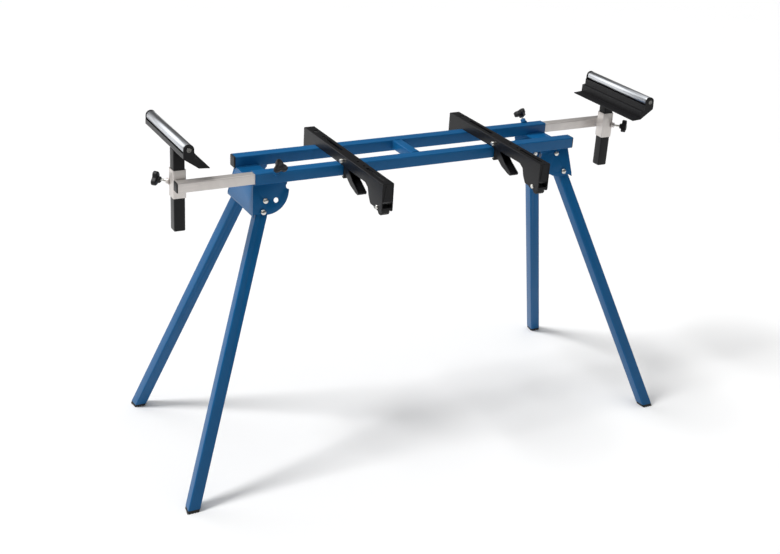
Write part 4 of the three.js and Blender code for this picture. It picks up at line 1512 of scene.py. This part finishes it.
def tool_bar(x):
    """A slotted channel with a deep front leg and a hook behind the rear rail."""
    s = sizes()
    sheet = mm(s.sheet)
    over = mm(s.rail_side) + GAP
    behind = beyond_rail()
    profile = [(BAR_BACK, BAR_TOP, 2.0), (BAR_FRONT, BAR_TOP, 2.0), (BAR_FRONT, LUG_LOW, 6.0),
               (-268, LUG_LOW, 3.0), (-263, BAR_LOW, 3.0), (-246, BAR_LOW, 8.0), (-235, 4, 8.0),
               (-229, 22, 6.0), (-214, over, 3.0),
               (behind, over, 0), (behind, -1.5, 0), (behind - 6, -1.5, 0), (behind - 6, -5, 0),
               (behind + 4, BAR_LOW, 1.5), (BAR_BACK, BAR_LOW, 8.0)]
    body = along_x(fillet(profile, 2.0), x - BAR_HALF, x + BAR_HALF)
    high = BAR_TOP - LUG_LOW
    section = prism(square(2 * BAR_HALF, high + 8, 2.4), BAR_BACK - BAR_FRONT,
                    axes(V(x, BAR_BACK, BAR_TOP - (high + 8) / 2), V(1, 0, 0), V(0, 0, 1), V(0, -1, 0)))
    body = meet(body, section)
    inner = BAR_HALF - sheet
    top = BAR_TOP - sheet
    face = axes(V(x, BAR_FRONT, 0), V(1, 0, 0), V(0, 0, 1), V(0, 1, 0))
    low, high = WINDOW
    opening = [(-inner, low), (inner, low), (inner, high), (-inner, high)]
    window = prism(opening, 8, face @ Matrix.Translation((0, 0, -3)))
    hollows = [
        box(x - inner, x + inner, BAR_FRONT + sheet, behind, -60, top),
        box(x - inner, x + inner, behind + sheet, BAR_BACK + 2, -60, top),
        box(x - inner, x + inner, behind - 1, behind + sheet + 1, over + 5, top),
        box(x - inner, x + inner, BAR_FRONT - 2, BAR_FRONT + sheet + 1, -60, LUG_LOW + 6),
        window,
    ]
    for sign in (-1, 1):
        fold = [(sign * 12.4, 52), (sign * 5.0, 52), (sign * 10.6, 12.5), (sign * 12.4, 12.5)]
        hollows.append(prism(fold, 2, face @ Matrix.Translation((0, 0, -1.1))))
    body = cut(body, *hollows)
    body = cut(body, *(bar_slot(x, *slot) for slot in BAR_SLOTS))
    return cut(body, *(pin_bore(x, spot, 2 * BAR_HALF) for spot in (CLAMP_PIN, FOOT_PIN)))


def lever_point(along, up):
    c, s = math.cos(LEVER_ANGLE), math.sin(LEVER_ANGLE)
    return CLAMP_PIN[0] - along * c - up * s, CLAMP_PIN[1] - along * s + up * c


def lever(x):
    """A pressed lever: two bowed flanks, a web between them and a rimmed slot near its tip."""
    tip = LEVER_LENGTH
    half = LEVER_HALF

    def turn(points, radius=0.0):
        return [lever_point(a, u) for a, u in fillet(points, radius)]

    wall = turn([(-8, -5, 3), (-8, 4, 3), (-4, 7, 3), (6, 7, 6), (30, 1, 30), (63, -3, 40),
                 (tip - 2, -1, 1), (tip, -3, 1), (tip, -8, 2), (92, -13, 8), (61, -21, 14), (34, -21, 8),
                 (14, -14, 8), (-4, -8, 4)])
    web = turn([(16, -14.7, 0), (16.8, -12.6, 0), (34.4, -18.8, 8), (60.5, -18.8, 12), (91.5, -10.8, 6),
                (tip - 1, -6, 0), (tip, -8, 2), (92, -13, 8), (61, -21, 14), (34, -21, 8)])
    end = turn([(tip - LEVER_SHEET, -8), (tip - LEVER_SHEET, -2), (tip, -3), (tip, -8)])
    body = join(along_x(wall, x - half, x - half + LEVER_SHEET), along_x(web, x - half, x + half))
    body = join(body, along_x(wall, x + half - LEVER_SHEET, x + half), along_x(end, x - half, x + half))
    c, s = math.cos(LEVER_SLOPE), math.sin(LEVER_SLOPE)
    run = V(0, *lever_point(c, s)) - V(0, *CLAMP_PIN)
    lift = V(0, *lever_point(-s, c)) - V(0, *CLAMP_PIN)
    eye = V(x, *lever_point(*LEVER_SLOT))
    rim = prism(square(9.6, 18.0, 4.7), 1.9, axes(eye - lift * 0.6, V(1, 0, 0), run, lift))
    dip = prism(square(6.0, 14.4, 2.9), 4.0, axes(eye - lift * 0.3, V(1, 0, 0), run, lift))
    return cut(join(body, rim), dip, pin_bore(x, CLAMP_PIN))


def jaw(x):
    face = beyond_rail()
    blade = [(-face, CLAMP_PIN[1], 0), (-face, -1.5, 0.4), (-face + 6, -1.5, 0.4), (-face + 6, -4, 1),
             (-face + 1, -6.5, 1.5), (-face - 2.5, -6.5, 1.5), (-face - 4, -4, 1),
             (-face - 4, CLAMP_PIN[1], 0)]
    body = along_x(fillet(blade, 1.0, steps=3), x - JAW_HALF, x + JAW_HALF)
    body = join(body, rod(V(x - JAW_HALF, *CLAMP_PIN), V(1, 0, 0), 6.5, 2 * JAW_HALF))
    return cut(body, pin_bore(x, CLAMP_PIN))


def cross_pin(x, spot, head):
    low = -BAR_HALF - GAP - head
    run = 2 * BAR_HALF + 2 * GAP + head + 3
    r = CROSS_PIN
    profile = [(0, 0), (3.2, 0), (4.6, 0.35), (5.3, 0.9), (5.6, 1.6), (5.6, head), (r, head), (r, run - 3),
               (5.2, run - 3), (5.2, run - 1.2), (4.9, run - 0.5), (4.2, run), (0, run)]
    return lathe(profile, around(V(x + low, *spot), V(1, 0, 0)))


def bar_foot(x):
    y, z = FOOT_PIN
    profile = [(y + 6, z - 1, 2), (y + 3, z + 4.7, 1.5), (y - 4, z + 4.7, 2), (y - 17, z - 3, 2),
               (y - 17, z - 12, 3), (y - 12, z - 17.5, 2), (y - 2, z - 17.5, 2), (y + 4, z - 11, 3),
               (y + 6, z - 4, 1)]
    body = along_x(fillet(profile, 2.0, steps=6), x - 10.5, x + 10.5)
    grooves = [box(x - 12, x + 12, y - 11 + 3.2 * k, y - 9.8 + 3.2 * k, z - 20, z - 16.2) for k in range(3)]
    return cut(body, pin_bore(x, FOOT_PIN), *grooves)


class STAND_OT_bars(bpy.types.Operator):
    """Builds the two tool bars with their levers, jaws, pins and feet"""

    bl_idname = "stand.bars"
    bl_label = "Tool bars"

    def execute(self, context):
        for word, side in SIDES:
            x = side * BAR_X
            body = f"{word}_bar"
            put(tool_bar(x), f"slotted_bar_{word}", body, "black", [f"tool_bar_{word}"], 0.35)
            put(cross_pin(x, CLAMP_PIN, 8), f"zinc_clamp_pin_{word}", body, "zinc", [f"clamp_pin_{word}"], 0)
            put(cross_pin(x, FOOT_PIN, 3), f"zinc_foot_pin_{word}", body, "zinc", [f"bar_foot_pin_{word}"], 0)
            put(bar_foot(x), f"rubber_bar_foot_{word}", body, "rubber", [f"bar_foot_{word}"], 0.3)
            put(lever(x), f"pressed_lever_{word}", f"{word}_lever", "black", [f"clamp_lever_{word}"], 0.3)
            put(jaw(x), f"hooked_jaw_{word}", f"{word}_jaw", "black", [f"clamp_jaw_{word}"], 0.3)
        return {"FINISHED"}


# ---- stage ----
class STAND_OT_stage(bpy.types.Operator):
    """Sets the floor, the lights and the camera"""

    bl_idname = "stand.stage"
    bl_label = "Stage"

    def execute(self, context):
        settings = context.scene.stand_stage
        self.floor(settings)
        self.lights(context, settings)
        camera = bpy.data.cameras.new("camera")
        camera.lens = settings.lens
        camera.sensor_width = SENSOR_WIDTH
        camera.shift_x, camera.shift_y = CAMERA_SHIFT
        camera.clip_end = CAMERA_REACH
        eye = add_object("camera", camera)
        eye.location = CAMERA_PLACE
        eye.rotation_euler = [math.radians(a) for a in CAMERA_TURN]
        context.scene.camera = eye
        return {"FINISHED"}

    def floor(self, settings):
        mesh = bpy.data.meshes.new("floor")
        half = FLOOR_HALF
        corners = [(-half, -half, 0), (half, -half, 0), (half, half, 0), (-half, half, 0)]
        mesh.from_pydata(corners, [], [(0, 1, 2, 3)])
        material, nodes, place, shader = finish_base("pale_floor")
        cloud = noise(nodes, place, 3.0, 3.0)
        pale = tuple(settings.floor)
        shade = tone(nodes, cloud, scaled(pale, 0.99), pale)
        feed(nodes, shader, colour=shade, roughness=0.62 + (cloud - 0.5) * 0.05, specular=0.2)
        mesh.materials.append(material)
        add_object("floor", mesh)

    def lights(self, context, settings):
        world = bpy.data.worlds.new("studio_light")
        world.use_nodes = True
        world.node_tree.nodes.clear()
        nodes = Nodes(world.node_tree)
        way = nodes.add("ShaderNodeTexCoord", out="Generated")

        def patch(middle, stops):
            toward = nodes.add(
                "ShaderNodeVectorMath", {0: way, 1: middle.normalized()}, out="Value", operation="DOT_PRODUCT"
            )
            return ramp(nodes, toward, stops)

        overhead = patch(V(0.1, 0.0, 1.0), [(0.70, 0.0), (0.86, 1.0)])
        behind = patch(V(-0.47, 0.80, 0.37), [(0.90, 0.0), (0.98, 1.0)])
        light = overhead * settings.top + behind * settings.back + settings.low
        glow = nodes.add("ShaderNodeBackground", {"Strength": light})
        end = world.node_tree.nodes.new("ShaderNodeOutputWorld")
        world.node_tree.links.new(glow.socket, end.inputs[0])
        context.scene.world = world
        lamp = bpy.data.lights.new("key", "SUN")
        lamp.energy = settings.key
        lamp.angle = KEY_SPREAD
        key = add_object("key", lamp)
        key.rotation_euler = V(*KEY_FROM).to_track_quat("Z", "Y").to_euler()
        context.scene.view_settings.view_transform = "Standard"


class STAND_PT_panel(bpy.types.Panel):
    """Sizes, colours and the steps that build the stand"""

    bl_label = "Folding tool stand"
    bl_idname = "STAND_PT_panel"
    bl_space_type = "VIEW_3D"
    bl_region_type = "UI"
    bl_category = "Tool stand"

    def draw(self, context):
        layout = self.layout
        for group in (context.scene.stand_sizes, context.scene.stand_colours, context.scene.stand_stage):
            box_layout = layout.box()
            for name in type(group).__annotations__:
                box_layout.prop(group, name)
        for operator in OPERATORS:
            layout.operator(operator.bl_idname)


GROUPS = {"stand_sizes": STAND_PG_sizes, "stand_colours": STAND_PG_colours, "stand_stage": STAND_PG_stage}
OPERATORS = (
    STAND_OT_frame,
    STAND_OT_bolts,
    STAND_OT_legs,
    STAND_OT_extensions,
    STAND_OT_supports,
    STAND_OT_knobs,
    STAND_OT_bars,
    STAND_OT_stage,
)
CLASSES = (*GROUPS.values(), *OPERATORS, STAND_PT_panel)


def register():
    for item in CLASSES:
        bpy.utils.register_class(item)
    for name, group in GROUPS.items():
        setattr(bpy.types.Scene, name, bpy.props.PointerProperty(type=group))


def unregister():
    for name in GROUPS:
        delattr(bpy.types.Scene, name)
    for item in reversed(CLASSES):
        bpy.utils.unregister_class(item)


def main():
    register()
    for operator in OPERATORS:
        group, name = operator.bl_idname.split(".")
        getattr(getattr(bpy.ops, group), name)()


if __name__ == "__main__":
    main()
